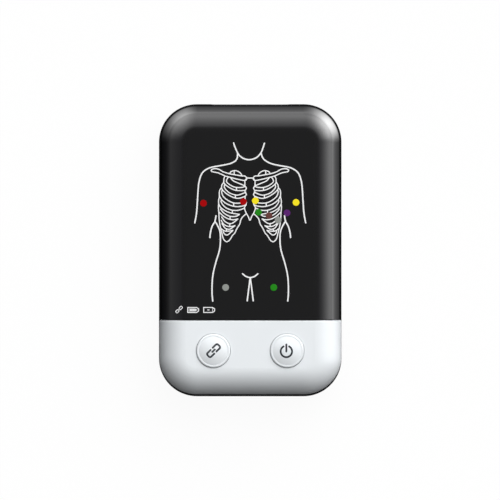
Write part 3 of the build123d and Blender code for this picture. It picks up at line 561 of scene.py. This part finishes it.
def cell_jacket(name, colour, raised, flat):
    """A cell: printed jacket with a pale band near its raised end, and bare steel at both ends. The
    ends are given by their places along Y."""
    steel, band_ink, scuff = (0.62, 0.62, 0.63, 1), (0.55, 0.57, 0.60, 1), (0.5, 0.5, 0.5, 1)
    bare_cap, bare_foot, soft = 1.7 * MM, 0.5 * MM, 0.05 * MM
    band_start, band_end = 6 * MM, 9 * MM
    material, tree, shader, place = new_finish(name)
    y = parts_of(tree, place)["Y"]
    from_raised = work_out(tree, "ABSOLUTE", minus(tree, y, raised))
    from_flat = work_out(tree, "ABSOLUTE", minus(tree, y, flat))
    past_cap = fade(tree, from_raised, bare_cap, bare_cap + soft)
    jacket = times(tree, past_cap, fade(tree, from_flat, bare_foot, bare_foot + soft))
    band = within(tree, from_raised, band_start, band_end, 2 * soft)
    flow = noise(tree, place, 3 * MM)
    print_colour = mix_colours(tree, band, shaded(colour, 1.0), band_ink)
    worn = mix_colours(tree, fade(tree, flow, *CLOUDS, to_high=0.08), print_colour, scuff)
    tree.links.new(mix_colours(tree, jacket, steel, worn), shader.inputs["Base Color"])
    tree.links.new(minus(tree, 1.0, jacket), shader.inputs["Metallic"])
    rough = fade(tree, flow, *CLOUDS, to_low=0.24, to_high=0.34)
    tree.links.new(rough, shader.inputs["Roughness"])
    relief(tree, shader, noise(tree, stretched(tree, place, (1, 12, 1)), 0.3 * MM), 0.003 * MM)
    return material


def clear_plastic(name, colour, roughness):
    """Clear or tinted plastic, with faint flow lines."""
    material, tree, shader, place = new_finish(name, ior=1.49)
    shader.inputs["Transmission Weight"].default_value = 0.92
    flow = noise(tree, place, 2 * MM)
    colour_and_roughness(tree, shader, flow, colour, roughness, mottle=0.02, scatter=0.2)
    relief(tree, shader, flow, 0.004 * MM)
    return material


def dress(material, *names):
    """Puts a material on solids of the frame."""
    for name in names:
        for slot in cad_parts[name].material_slots:
            slot.material = material


# Drawing on surfaces


def to_plan(points, side=1, middle=(0, 0)):
    """Points in millimetres as places in metres, mirrored where side is -1."""
    return [Vector(((middle[0] + side * x) * MM, (middle[1] + y) * MM)) for x, y in points]


def smooth_line(points):
    """Places along a smooth curve that runs through the points."""
    ends = [2 * points[0] - points[1], *points, 2 * points[-1] - points[-2]]
    line = []
    for before, start, end, after in zip(ends, ends[1:], ends[2:], ends[3:]):
        count = max(2, math.ceil((end - start).length / LINE_STEP))
        for number in range(count):
            t = number / count
            bend = 2 * before - 5 * start + 4 * end - after
            twist = 3 * start - before - 3 * end + after
            line.append((2 * start + (end - before) * t + bend * t**2 + twist * t**3) / 2)
    return line + [points[-1]]


def straight_line(points):
    """Places along straight runs between the points."""
    line = []
    for start, end in zip(points, points[1:]):
        count = max(1, math.ceil((end - start).length / LINE_STEP))
        line += [start.lerp(end, number / count) for number in range(count)]
    return line + [points[-1]]


def arc_line(middle, radius, start, turn, count):
    """Places along part of a circle."""
    angles = [start + turn * number / count for number in range(count + 1)]
    return [middle + radius * Vector((math.cos(a), math.sin(a))) for a in angles]


def ring_line(middle, way, length, width, corner):
    """Places around a rectangle with round corners, which lies along a direction."""
    side = sideways(way)
    start = math.atan2(way.y, way.x) - math.pi / 2
    ring = []
    for number, (ahead, across) in enumerate(((1, -1), (1, 1), (-1, 1), (-1, -1))):
        centre = middle + way * ahead * (length / 2 - corner) + side * across * (width / 2 - corner)
        ring += arc_line(centre, corner, start + number * math.pi / 2, math.pi / 2, count=6)
    return ring


def link_half(centre, way, symbols):
    """Places along one half of the link symbol: a bent ring that opens towards the middle."""
    side = sideways(way)
    half, corner = symbols.link_width / 2, symbols.link_corner
    near, bend = centre + way * symbols.link_break, centre + way * (symbols.link_reach - corner)
    start = math.atan2(-side.y, -side.x)
    line = straight_line([near - side * half, bend - side * half])
    turn = math.pi / 2
    line += arc_line(bend - side * (half - corner), corner, start, turn, count=8)[1:]
    line += arc_line(bend + side * (half - corner), corner, start + turn, turn, count=8)
    return line + straight_line([bend + side * half, near + side * half])[1:]


def sideways(way):
    """The direction to the left of another one."""
    return Vector((-way.y, way.x))


def stroke_sides(line, half_width, closed):
    """The left and right side of a stroke: mitred at corners, and round at open ends."""
    count = len(line)
    ways = [(line[(i + 1) % count] - line[i]).normalized() for i in range(count)]
    if not closed:
        ways[-1] = ways[-2]
    sides = []
    for i, middle in enumerate(line):
        before = ways[i - 1] if closed or i > 0 else ways[i]
        across = sideways((before + ways[i]).normalized())
        across /= max(SHARPEST_MITRE, across.dot(sideways(ways[i])))
        sides.append((middle + across * half_width, middle - across * half_width))
    if closed:
        return sides
    start, end = [], []
    for number in range(1, CAP_STEPS):
        angle = number / CAP_STEPS * math.pi / 2
        out, half = half_width * math.cos(angle), half_width * math.sin(angle)
        for cap, middle, way, turn in ((start, line[0], ways[0], -1), (end, line[-1], ways[-1], 1)):
            centre = middle + turn * way * out
            across = sideways(way) * half
            cap.append((centre + across, centre - across))
    return start + sides + end[::-1]


def lay_stroke(mesh, line, width, surface, height=INK_HEIGHT, closed=False):
    """Adds one printed stroke, as a thin closed band on a surface."""
    rings = []
    for left, right in stroke_sides(line, width / 2, closed):
        corners = ((left, height), (right, height), (right, -height), (left, -height))
        rings.append([mesh.verts.new(surface(spot, lift)) for spot, lift in corners])
    pairs = list(zip(rings, rings[1:]))
    if closed:
        pairs.append((rings[-1], rings[0]))
    else:
        mesh.faces.new(rings[0])
        mesh.faces.new(rings[-1])
    for near, far in pairs:
        for i in range(4):
            mesh.faces.new((near[i], near[i - 1], far[i - 1], far[i]))


def lay_strokes(mesh, lines, width):
    """Adds open strokes on the front plate that may cross, each a step higher than the one before."""
    for number, line in enumerate(lines):
        lay_stroke(mesh, line, width, plate_surface, INK_HEIGHT + number * INK_STEP)


def lay_dot(mesh, middle, radius):
    """Adds one printed dot on the front plate, with a soft edge to its ink."""
    rings = []
    for share, lift in DOT_RINGS:
        spots = arc_line(middle, radius * share, 0, math.tau, DOT_SIDES)[:-1]
        rings.append([mesh.verts.new(plate_surface(spot, lift * DOT_HEIGHT)) for spot in spots])
    for near, far in zip(rings, rings[1:]):
        for i in range(DOT_SIDES):
            mesh.faces.new((near[i - 1], near[i], far[i], far[i - 1]))
    mesh.faces.new(rings[0])
    mesh.faces.new(rings[-1])


def plate_surface(spot, lift):
    """A place on or over the front plate's face: flat, and rolled down towards its two sides."""
    over = max(0.0, abs(spot.x) - (plate_high.x - EDGE_ROLL))
    down = EDGE_ROLL - math.sqrt(EDGE_ROLL**2 - over**2)
    out = Vector((math.copysign(over / EDGE_ROLL, spot.x), 0, 1 - down / EDGE_ROLL))
    return Vector((spot.x, spot.y, plate_high.z - down)) + out * lift


def button_surface(name):
    """The middle of a button cap, and its face: part of a large ball."""
    low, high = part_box(name)
    middle = Vector(((low.x + high.x) / 2, (low.y + high.y) / 2))

    def surface(spot, lift):
        away = spot - middle
        rise = math.sqrt(DOME_RADIUS**2 - away.length_squared)
        out = Vector((away.x, away.y, rise)) / DOME_RADIUS
        place = Vector((spot.x, spot.y, high.z - DOME_RADIUS + rise)) + out * lift
        place.z = min(place.z, high.z)
        return place

    return middle, surface


def add_object(name, mesh, material):
    """Turns a mesh into an object, in place of an earlier one of that name."""
    old = bpy.data.objects.get(name)
    if old:
        bpy.data.objects.remove(old)
    data = bpy.data.meshes.new(name)
    mesh.to_mesh(data)
    mesh.free()
    data.materials.append(material)
    item = bpy.data.objects.new(name, data)
    bpy.context.scene.collection.objects.link(item)
    return item


def make_piece(name, mesh, material, body):
    """Turns a mesh into a piece that rides on a body."""
    bmesh.ops.recalc_face_normals(mesh, faces=mesh.faces)
    piece = add_object(name, mesh, material)
    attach(piece, body)


# Operators


class MONITOR_OT_finish_case(bpy.types.Operator):
    """Gives the housings, the front plate, the door, the seal, the screws and the label their finish"""

    bl_idname = "monitor.finish_case"
    bl_label = "Finish case"

    def execute(self, context):
        case = context.scene.monitor_case
        dress(polished_plate(case), "faceplate")
        white = moulded_plastic(
            "case_white", case.white_colour, roughness=0.38, grain=0.5, depth=0.003, mottle=0.012
        )
        dress(white, "front_housing")
        dark = moulded_plastic(
            "case_dark", case.dark_colour, roughness=0.6, grain=case.grain_size / MM, depth=0.006,
            mottle=0.1, shine=0.15,
        )
        dress(dark, "rear_housing", "battery_door")
        rubber = moulded_plastic("seal_rubber", (0.02, 0.02, 0.02), roughness=0.7, grain=0.2, depth=0.01)
        dress(rubber, "housing_seal")
        film = moulded_plastic("bonding_film", (0.6, 0.6, 0.55), roughness=0.5, grain=0.6, depth=0.006)
        dress(film, "faceplate_film")
        label = moulded_plastic(
            "label_film", case.label_colour, roughness=0.42, grain=0.15, depth=0.003, mottle=0.02
        )
        dress(label, "rear_label")
        steel = plated_metal("screw_steel", (0.56, 0.56, 0.57), roughness=0.3)
        dress(steel, "housing_screws", "board_screws")
        return {"FINISHED"}


class MONITOR_OT_finish_buttons(bpy.types.Operator):
    """Gives the button caps and the switches under them their finish"""

    bl_idname = "monitor.finish_buttons"
    bl_label = "Finish buttons"

    def execute(self, context):
        case = context.scene.monitor_case
        caps = moulded_plastic(
            "button_white", case.white_colour, roughness=0.34, grain=0.4, depth=0.002, mottle=0.01
        )
        base = moulded_plastic("switch_black", (0.02, 0.02, 0.021), roughness=0.45, grain=0.2, depth=0.006)
        plunger = moulded_plastic("plunger_red", (0.5, 0.03, 0.015), roughness=0.4, grain=0.2, depth=0.004)
        cover = plated_metal("cover_tin", (0.66, 0.66, 0.67), roughness=0.32, stretch=(8, 1, 1))
        dome = plated_metal("dome_nickel", (0.70, 0.67, 0.62), roughness=0.24)
        for side in ("link", "power"):
            dress(caps, f"{side}_button_cap")
            dress(base, f"{side}_switch_base")
            dress(plunger, f"{side}_switch_plunger")
            dress(cover, f"{side}_switch_cover")
            dress(dome, f"{side}_switch_dome")
            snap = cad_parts[f"{side}_switch_dome"]
            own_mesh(snap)
        return {"FINISHED"}


class MONITOR_OT_finish_cells(bpy.types.Operator):
    """Gives the cells, their contacts and the springs their finish"""

    bl_idname = "monitor.finish_cells"
    bl_label = "Finish cells"

    def execute(self, context):
        inside = context.scene.monitor_inside
        for name, turned in (("battery_cell_left", False), ("battery_cell_right", True)):
            flat, raised = sorted((corner.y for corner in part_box(name)), reverse=turned)
            dress(cell_jacket(f"{name}_jacket", inside.cell_colour, raised, flat), name)
        nickel = plated_metal("contact_nickel", (0.70, 0.67, 0.62), roughness=0.28, stretch=(1, 1, 8))
        dress(nickel, "positive_contact", "negative_contact", "bridge_contact")
        wire = plated_metal("spring_wire", (0.64, 0.63, 0.60), roughness=0.22, grain=0.15)
        dress(wire, "negative_spring", "bridge_spring")
        return {"FINISHED"}


class MONITOR_OT_finish_socket(bpy.types.Operator):
    """Gives the lead socket's shell, insulator and contacts their finish"""

    bl_idname = "monitor.finish_socket"
    bl_label = "Finish lead socket"

    def execute(self, context):
        inside = context.scene.monitor_inside
        shell = plated_metal("shell_nickel", (0.66, 0.64, 0.60), roughness=0.26, stretch=(1, 8, 1))
        dress(shell, "socket_shell")
        nylon = moulded_plastic(
            "nylon_black", (0.012, 0.012, 0.013), roughness=0.42, grain=0.15, depth=0.006
        )
        dress(nylon, "socket_insulator", "light_baffle")
        gold = plated_metal("contact_gold", inside.gold_colour, roughness=0.2, stretch=(1, 8, 1), grain=0.1)
        dress(gold, "socket_contacts")
        return {"FINISHED"}


class MONITOR_OT_finish_electronics(bpy.types.Operator):
    """Gives the boards, the cans, the chips and the lamps their finish"""

    bl_idname = "monitor.finish_electronics"
    bl_label = "Finish electronics"

    def execute(self, context):
        inside = context.scene.monitor_inside
        dress(masked_board("board_mask", inside.board_colour), "main_board")
        dress(masked_board("module_mask", inside.module_colour), "wireless_module")
        cans = plated_metal("can_tin", (0.66, 0.66, 0.67), roughness=0.34, stretch=(1, 8, 1))
        dress(cans, "input_shield", "wireless_shield", "crystal")
        resin = moulded_plastic("chip_resin", (0.018, 0.018, 0.02), roughness=0.55, grain=0.12, depth=0.008)
        dress(resin, "input_converters", "processor", "protection_resistors")
        ferrite = moulded_plastic("coil_ferrite", (0.10, 0.10, 0.105), roughness=0.6, grain=0.1, depth=0.01)
        dress(ferrite, "boost_inductor")
        tantalum = moulded_plastic(
            "capacitor_tan", (0.55, 0.30, 0.08), roughness=0.4, grain=0.2, depth=0.004
        )
        dress(tantalum, "bulk_capacitors")
        dress(clear_plastic("guide_clear", (0.9, 0.92, 0.93), roughness=0.08), "light_guides")
        dress(clear_plastic("lamp_resin", (0.95, 0.88, 0.55), roughness=0.2), "status_lamps")
        return {"FINISHED"}


class MONITOR_OT_print_figure(bpy.types.Operator):
    """Prints the figure's outline and rib cage on the front plate"""

    bl_idname = "monitor.print_figure"
    bl_label = "Print figure"

    def execute(self, context):
        figure = context.scene.monitor_figure
        ink = printed_ink("figure_ink", figure.line_colour)
        lines = [smooth_line(to_plan(neck_line))]
        for side, start in zip((-1, 1), shoulder_starts):
            lines.append(smooth_line(to_plan(start) + to_plan(shoulder_line, side)))
            for points in (inner_arm_line, flank_line, groin_line, leg_line):
                lines.append(smooth_line(to_plan(points, side)))
        body = bmesh.new()
        lay_strokes(body, lines, figure.body_stroke)
        make_piece("figure_outline", body, ink, "housing")
        lines = []
        for side in (-1, 1):
            for points in (collar_bone_line, first_rib_line, cage_line, *rib_lines):
                lines.append(smooth_line(to_plan(points, side, cage_middle)))
            for x, top, low in rib_ticks:
                lines.append(straight_line(to_plan([(x, top), (x, low)], side, cage_middle)))
        cage = bmesh.new()
        lay_strokes(cage, lines, figure.rib_stroke)
        right = to_plan(breastbone_line, 1, cage_middle)
        left = to_plan(breastbone_line[:-1], -1, cage_middle)
        breastbone = smooth_line(right + left[::-1])[:-1]
        height = INK_HEIGHT + len(lines) * INK_STEP
        lay_stroke(cage, breastbone, figure.rib_stroke, plate_surface, height, closed=True)
        make_piece("figure_rib_cage", cage, ink, "housing")
        return {"FINISHED"}


class MONITOR_OT_print_electrodes(bpy.types.Operator):
    """Prints the coloured dots that show where the electrodes go"""

    bl_idname = "monitor.print_electrodes"
    bl_label = "Print electrodes"

    def execute(self, context):
        figure = context.scene.monitor_figure
        for name in ("red", "yellow", "green", "brown", "grey", "purple"):
            dots = bmesh.new()
            for spot, ink in electrode_spots:
                if ink == name:
                    lay_dot(dots, to_plan([spot])[0], figure.electrode_size / 2)
            ink = printed_ink(f"electrode_ink_{name}", getattr(figure, name))
            make_piece(f"electrodes_{name}", dots, ink, "housing")
        return {"FINISHED"}


class MONITOR_OT_print_icons(bpy.types.Operator):
    """Prints the icons over the three indicator windows"""

    bl_idname = "monitor.print_icons"
    bl_label = "Print icons"

    def execute(self, context):
        icons = context.scene.monitor_icons
        ink = printed_ink("icon_ink", icons.icon_colour)
        links = bmesh.new()
        middle = to_plan([link_icon_place])[0]
        slant = Vector((1, 1)).normalized()
        for turn in (-1, 1):
            centre = middle + turn * slant * link_icon_reach * MM
            ring = ring_line(centre, slant, icons.link_length, icons.link_width, icons.link_corner)
            lay_stroke(links, ring, icons.link_stroke, plate_surface, closed=True)
        make_piece("icon_link", links, ink, "housing")
        charge = [
            (x - math.copysign(charge_inset, x), y - math.copysign(charge_inset, y))
            for x, y in cell_outline
        ]
        stroke = icons.cell_stroke
        full_rings = [(cell_outline, stroke), (charge, stroke / 2)]
        low_bars = [(low_cell_bar, stroke), (cell_collar, stroke / 2)]
        for name, place, rings, bars in (
            ("icon_cell_full", full_cell_place, full_rings, [(full_cell_bar, icons.cell_bar)]),
            ("icon_cell_low", low_cell_place, [(cell_outline, stroke)], low_bars),
        ):
            cell = bmesh.new()
            for points, width in rings:
                line = straight_line(to_plan(points, middle=place))[:-1]
                lay_stroke(cell, line, width, plate_surface, closed=True)
            for points, width in bars:
                line = straight_line(to_plan(points, middle=place))
                lay_stroke(cell, line, width, plate_surface, INK_HEIGHT + INK_STEP)
            make_piece(name, cell, ink, "housing")
        return {"FINISHED"}


class MONITOR_OT_print_symbols(bpy.types.Operator):
    """Prints the link and power symbols on the buttons"""

    bl_idname = "monitor.print_symbols"
    bl_label = "Print button symbols"

    def execute(self, context):
        symbols = context.scene.monitor_symbols
        ink = printed_ink("symbol_ink", symbols.symbol_colour)
        middle, surface = button_surface("power_button_cap")
        centre = middle + Vector(power_symbol_offset) * MM
        start, turn = math.pi / 2 + symbols.ring_gap, math.tau - 2 * symbols.ring_gap
        ring = arc_line(centre, symbols.ring_radius, start, turn, RING_STEPS)
        bar = straight_line([centre + Vector((0, power_bar_length)) * MM, centre])
        power = bmesh.new()
        for line in (ring, bar):
            lay_stroke(power, line, symbols.ring_stroke, surface)
        make_piece("power_symbol", power, ink, "power_button")
        middle, surface = button_surface("link_button_cap")
        centre = middle + Vector(link_symbol_offset) * MM
        slant = Vector((1, 1)).normalized()
        link = bmesh.new()
        for way in (-slant, slant):
            lay_stroke(link, link_half(centre, way, symbols), symbols.link_stroke, surface)
        reach = slant * symbols.link_break * link_bar_share
        bar = straight_line([centre - reach, centre + reach])
        lay_stroke(link, bar, symbols.link_stroke, surface)
        make_piece("link_symbol", link, ink, "link_button")
        return {"FINISHED"}


class MONITOR_OT_set_stage(bpy.types.Operator):
    """Makes the floor, the studio light and the camera over the front face"""

    bl_idname = "monitor.set_stage"
    bl_label = "Set stage"

    def execute(self, context):
        studio = context.scene.monitor_studio
        make_floor(studio)
        make_world(studio, context.scene)
        make_camera(studio, context.scene)
        context.scene.view_settings.view_transform = "Standard"
        return {"FINISHED"}


# Stage


def make_floor(studio):
    """A white floor that takes the object's shadow. In glossy faces it shows the lamps' glow, which
    fades out towards the case."""
    mesh = bmesh.new()
    bmesh.ops.create_grid(mesh, x_segments=8, y_segments=8, size=studio.floor_size / 2)
    for vert in mesh.verts:
        vert.co.z = -floor_drop
    material = bpy.data.materials.new("floor_white")
    tree = empty_tree(material)
    place = add_node(tree, "ShaderNodeTexCoord").outputs["Object"]
    rays = add_node(tree, "ShaderNodeLightPath").outputs
    shown = plus(tree, rays["Is Camera Ray"], rays["Is Transmission Ray"])
    mirrored = times(tree, rays["Is Glossy Ray"], floor_glow(tree, place, studio))
    glow = plus(tree, times(tree, shown, floor_brightness), mirrored)
    paper = fade(tree, noise(tree, place, 0.5 * MM), *CLOUDS, *paper_tones)
    unseen = times(tree, rays["Is Camera Ray"], paper_tone_unseen)
    share = times(tree, minus(tree, paper, unseen), minus(tree, 1.0, rays["Is Glossy Ray"]))
    matt = add_node(tree, "ShaderNodeBsdfDiffuse", {"Color": grey(tree, share)}).outputs[0]
    light = add_node(tree, "ShaderNodeEmission", {"Strength": glow}).outputs[0]
    surface = add_node(tree, "ShaderNodeAddShader", {0: matt, 1: light}).outputs[0]
    add_node(tree, "ShaderNodeOutputMaterial", {"Surface": surface})
    floor = add_object("floor", mesh, material)


def floor_glow(tree, place, studio):
    """The glow of the mirrored lamps on the floor, by the direction from the case's rounded outline.
    It fades out towards the case: slowly beside its straight sides, and faster beside its corners."""
    parts = parts_of(tree, place)
    beyond = []
    for part, edge in zip((parts["X"], parts["Y"]), cad_box[1]):
        held = work_out(tree, "MINIMUM", part, edge - CASE_CORNER)
        held = work_out(tree, "MAXIMUM", held, CASE_CORNER - edge)
        beyond.append(minus(tree, part, held))
    past = add_node(tree, "ShaderNodeCombineXYZ", {0: beyond[0], 1: beyond[1]}).outputs[0]
    length = vector_node(tree, "LENGTH", past).outputs["Value"]
    line = parts_of(tree, vector_node(tree, "NORMALIZE", past).outputs[0])
    aslant = work_out(tree, "ABSOLUTE", times(tree, line["X"], line["Y"]))
    away = work_out(tree, "MAXIMUM", minus(tree, length, CASE_CORNER + shade_start), 0.0)
    total = 0.0
    for lamp in mirrored_lamps:
        rate = fade(tree, aslant, 0.0, fully_aslant, -1 / studio.shade_reach, -1 / (lamp[4] * MM))
        shade = work_out(tree, "EXPONENT", times(tree, away, rate))
        glow = lamp_glow(tree, line, lamp, studio.mirrored_strength)
        glow = times(tree, glow, minus(tree, 1.0, shade))
        total = plus(tree, glow, total)
    return total


def light_way(azimuth, elevation):
    """The direction towards a light."""
    level = math.cos(elevation)
    return Vector((level * math.cos(azimuth), level * math.sin(azimuth), math.sin(elevation)))


def lamp_glow(tree, parts, lamp, strength):
    """How brightly one mirrored lamp shines from the direction of a level line."""
    azimuth, spread, brightness = lamp[:3]
    level = add_node(tree, "ShaderNodeCombineXYZ", {0: parts["X"], 1: parts["Y"]}).outputs[0]
    line = vector_node(tree, "NORMALIZE", level).outputs[0]
    facing = vector_node(tree, "DOT_PRODUCT", line, light_way(math.radians(azimuth), 0.0))
    away = minus(tree, facing.outputs["Value"], 1.0)
    bunched = times(tree, away, 1 / math.radians(spread) ** 2)
    return times(tree, work_out(tree, "EXPONENT", bunched), brightness * strength)


def make_world(studio, scene):
    """Soft light from one side with an even sky, lamps that glossy faces mirror, and a white
    background."""
    world = bpy.data.worlds.new("studio_light")
    tree = empty_tree(world)
    way = add_node(tree, "ShaderNodeTexCoord").outputs["Generated"]
    parts = parts_of(tree, way)
    rays = add_node(tree, "ShaderNodeLightPath").outputs
    up = work_out(tree, "MAXIMUM", parts["Z"], 0.0)
    towards = light_way(studio.key_azimuth, studio.key_elevation)
    facing = vector_node(tree, "DOT_PRODUCT", way, towards).outputs["Value"]
    key = work_out(tree, "POWER", work_out(tree, "MAXIMUM", facing, 0.0), studio.key_narrowness)
    key = times(tree, key, studio.key_strength)
    soft = plus(tree, key, times(tree, up, studio.sky_strength))
    level = fade(tree, work_out(tree, "POWER", up, 2.0), 0.0, 1.0, to_low=1.0, to_high=0.0)
    gloss = fade(tree, up, 0.0, even_glow_rise, *even_glow)
    for lamps, rise in ((mirrored_lamps, 1.0), (high_lamps, fade(tree, up, 0.0, high_lamp_rise))):
        for lamp in lamps:
            glow = lamp_glow(tree, parts, lamp, studio.mirrored_strength)
            glow = times(tree, glow, work_out(tree, "POWER", level, lamp[3]))
            gloss = plus(tree, gloss, times(tree, glow, rise))
    mirrored = times(tree, gloss, rays["Is Glossy Ray"])
    matt_share = minus(tree, 1.0, rays["Is Glossy Ray"])
    total = plus(tree, mirrored, times(tree, soft, matt_share))
    light = add_node(tree, "ShaderNodeBackground", {"Strength": total}).outputs[0]
    white = add_node(tree, "ShaderNodeBackground", {"Color": (1, 1, 1, 1), "Strength": 1.0}).outputs[0]
    mixed = add_node(tree, "ShaderNodeMixShader", {0: rays["Is Camera Ray"], 1: light, 2: white})
    add_node(tree, "ShaderNodeOutputWorld", {"Surface": mixed.outputs[0]})
    scene.world = world


def make_camera(studio, scene):
    """A camera with a long lens that looks straight down on the front face."""
    data = bpy.data.cameras.new("camera")
    data.sensor_width = 36
    data.lens = studio.lens
    data.clip_start = 0.01
    data.clip_end = 100
    camera = bpy.data.objects.new("camera", data)
    distance = studio.view_width * studio.lens / data.sensor_width
    camera.location = Vector(studio.view_middle) + Vector((0, 0, distance))
    scene.collection.objects.link(camera)
    scene.camera = camera


class MONITOR_PT_panel(bpy.types.Panel):
    """Lists the steps that finish the heart monitor, with their sizes and colours"""

    bl_label = "Heart monitor"
    bl_idname = "MONITOR_PT_panel"
    bl_space_type = "VIEW_3D"
    bl_region_type = "UI"
    bl_category = "Heart monitor"

    def draw(self, context):
        for kind in operators:
            self.layout.operator(kind.bl_idname)
        for name in groups:
            group = getattr(context.scene, name)
            box = self.layout.box()
            for key in group.bl_rna.properties.keys():
                if key not in ("rna_type", "name"):
                    box.prop(group, key)


operators = [
    MONITOR_OT_finish_case,
    MONITOR_OT_finish_buttons,
    MONITOR_OT_finish_cells,
    MONITOR_OT_finish_socket,
    MONITOR_OT_finish_electronics,
    MONITOR_OT_print_figure,
    MONITOR_OT_print_electrodes,
    MONITOR_OT_print_icons,
    MONITOR_OT_print_symbols,
    MONITOR_OT_set_stage,
]
groups = {
    "monitor_case": CaseFinish,
    "monitor_figure": FigurePrint,
    "monitor_icons": IndicatorPrint,
    "monitor_symbols": ButtonPrint,
    "monitor_inside": InsideFinish,
    "monitor_studio": StudioLook,
}


def register():
    """Adds the properties, the operators and the panel."""
    for name, kind in groups.items():
        bpy.utils.register_class(kind)
        setattr(bpy.types.Scene, name, bpy.props.PointerProperty(type=kind))
    for kind in [*operators, MONITOR_PT_panel]:
        bpy.utils.register_class(kind)


def unregister():
    """Takes away what register added."""
    for kind in [MONITOR_PT_panel, *reversed(operators)]:
        bpy.utils.unregister_class(kind)
    for name, kind in groups.items():
        delattr(bpy.types.Scene, name)
        bpy.utils.unregister_class(kind)


def main():
    """Finishes the model piece by piece."""
    register()
    for kind in operators:
        group, name = kind.bl_idname.split(".")
        getattr(getattr(bpy.ops, group), name)()


if __name__ == "__main__":
    main()
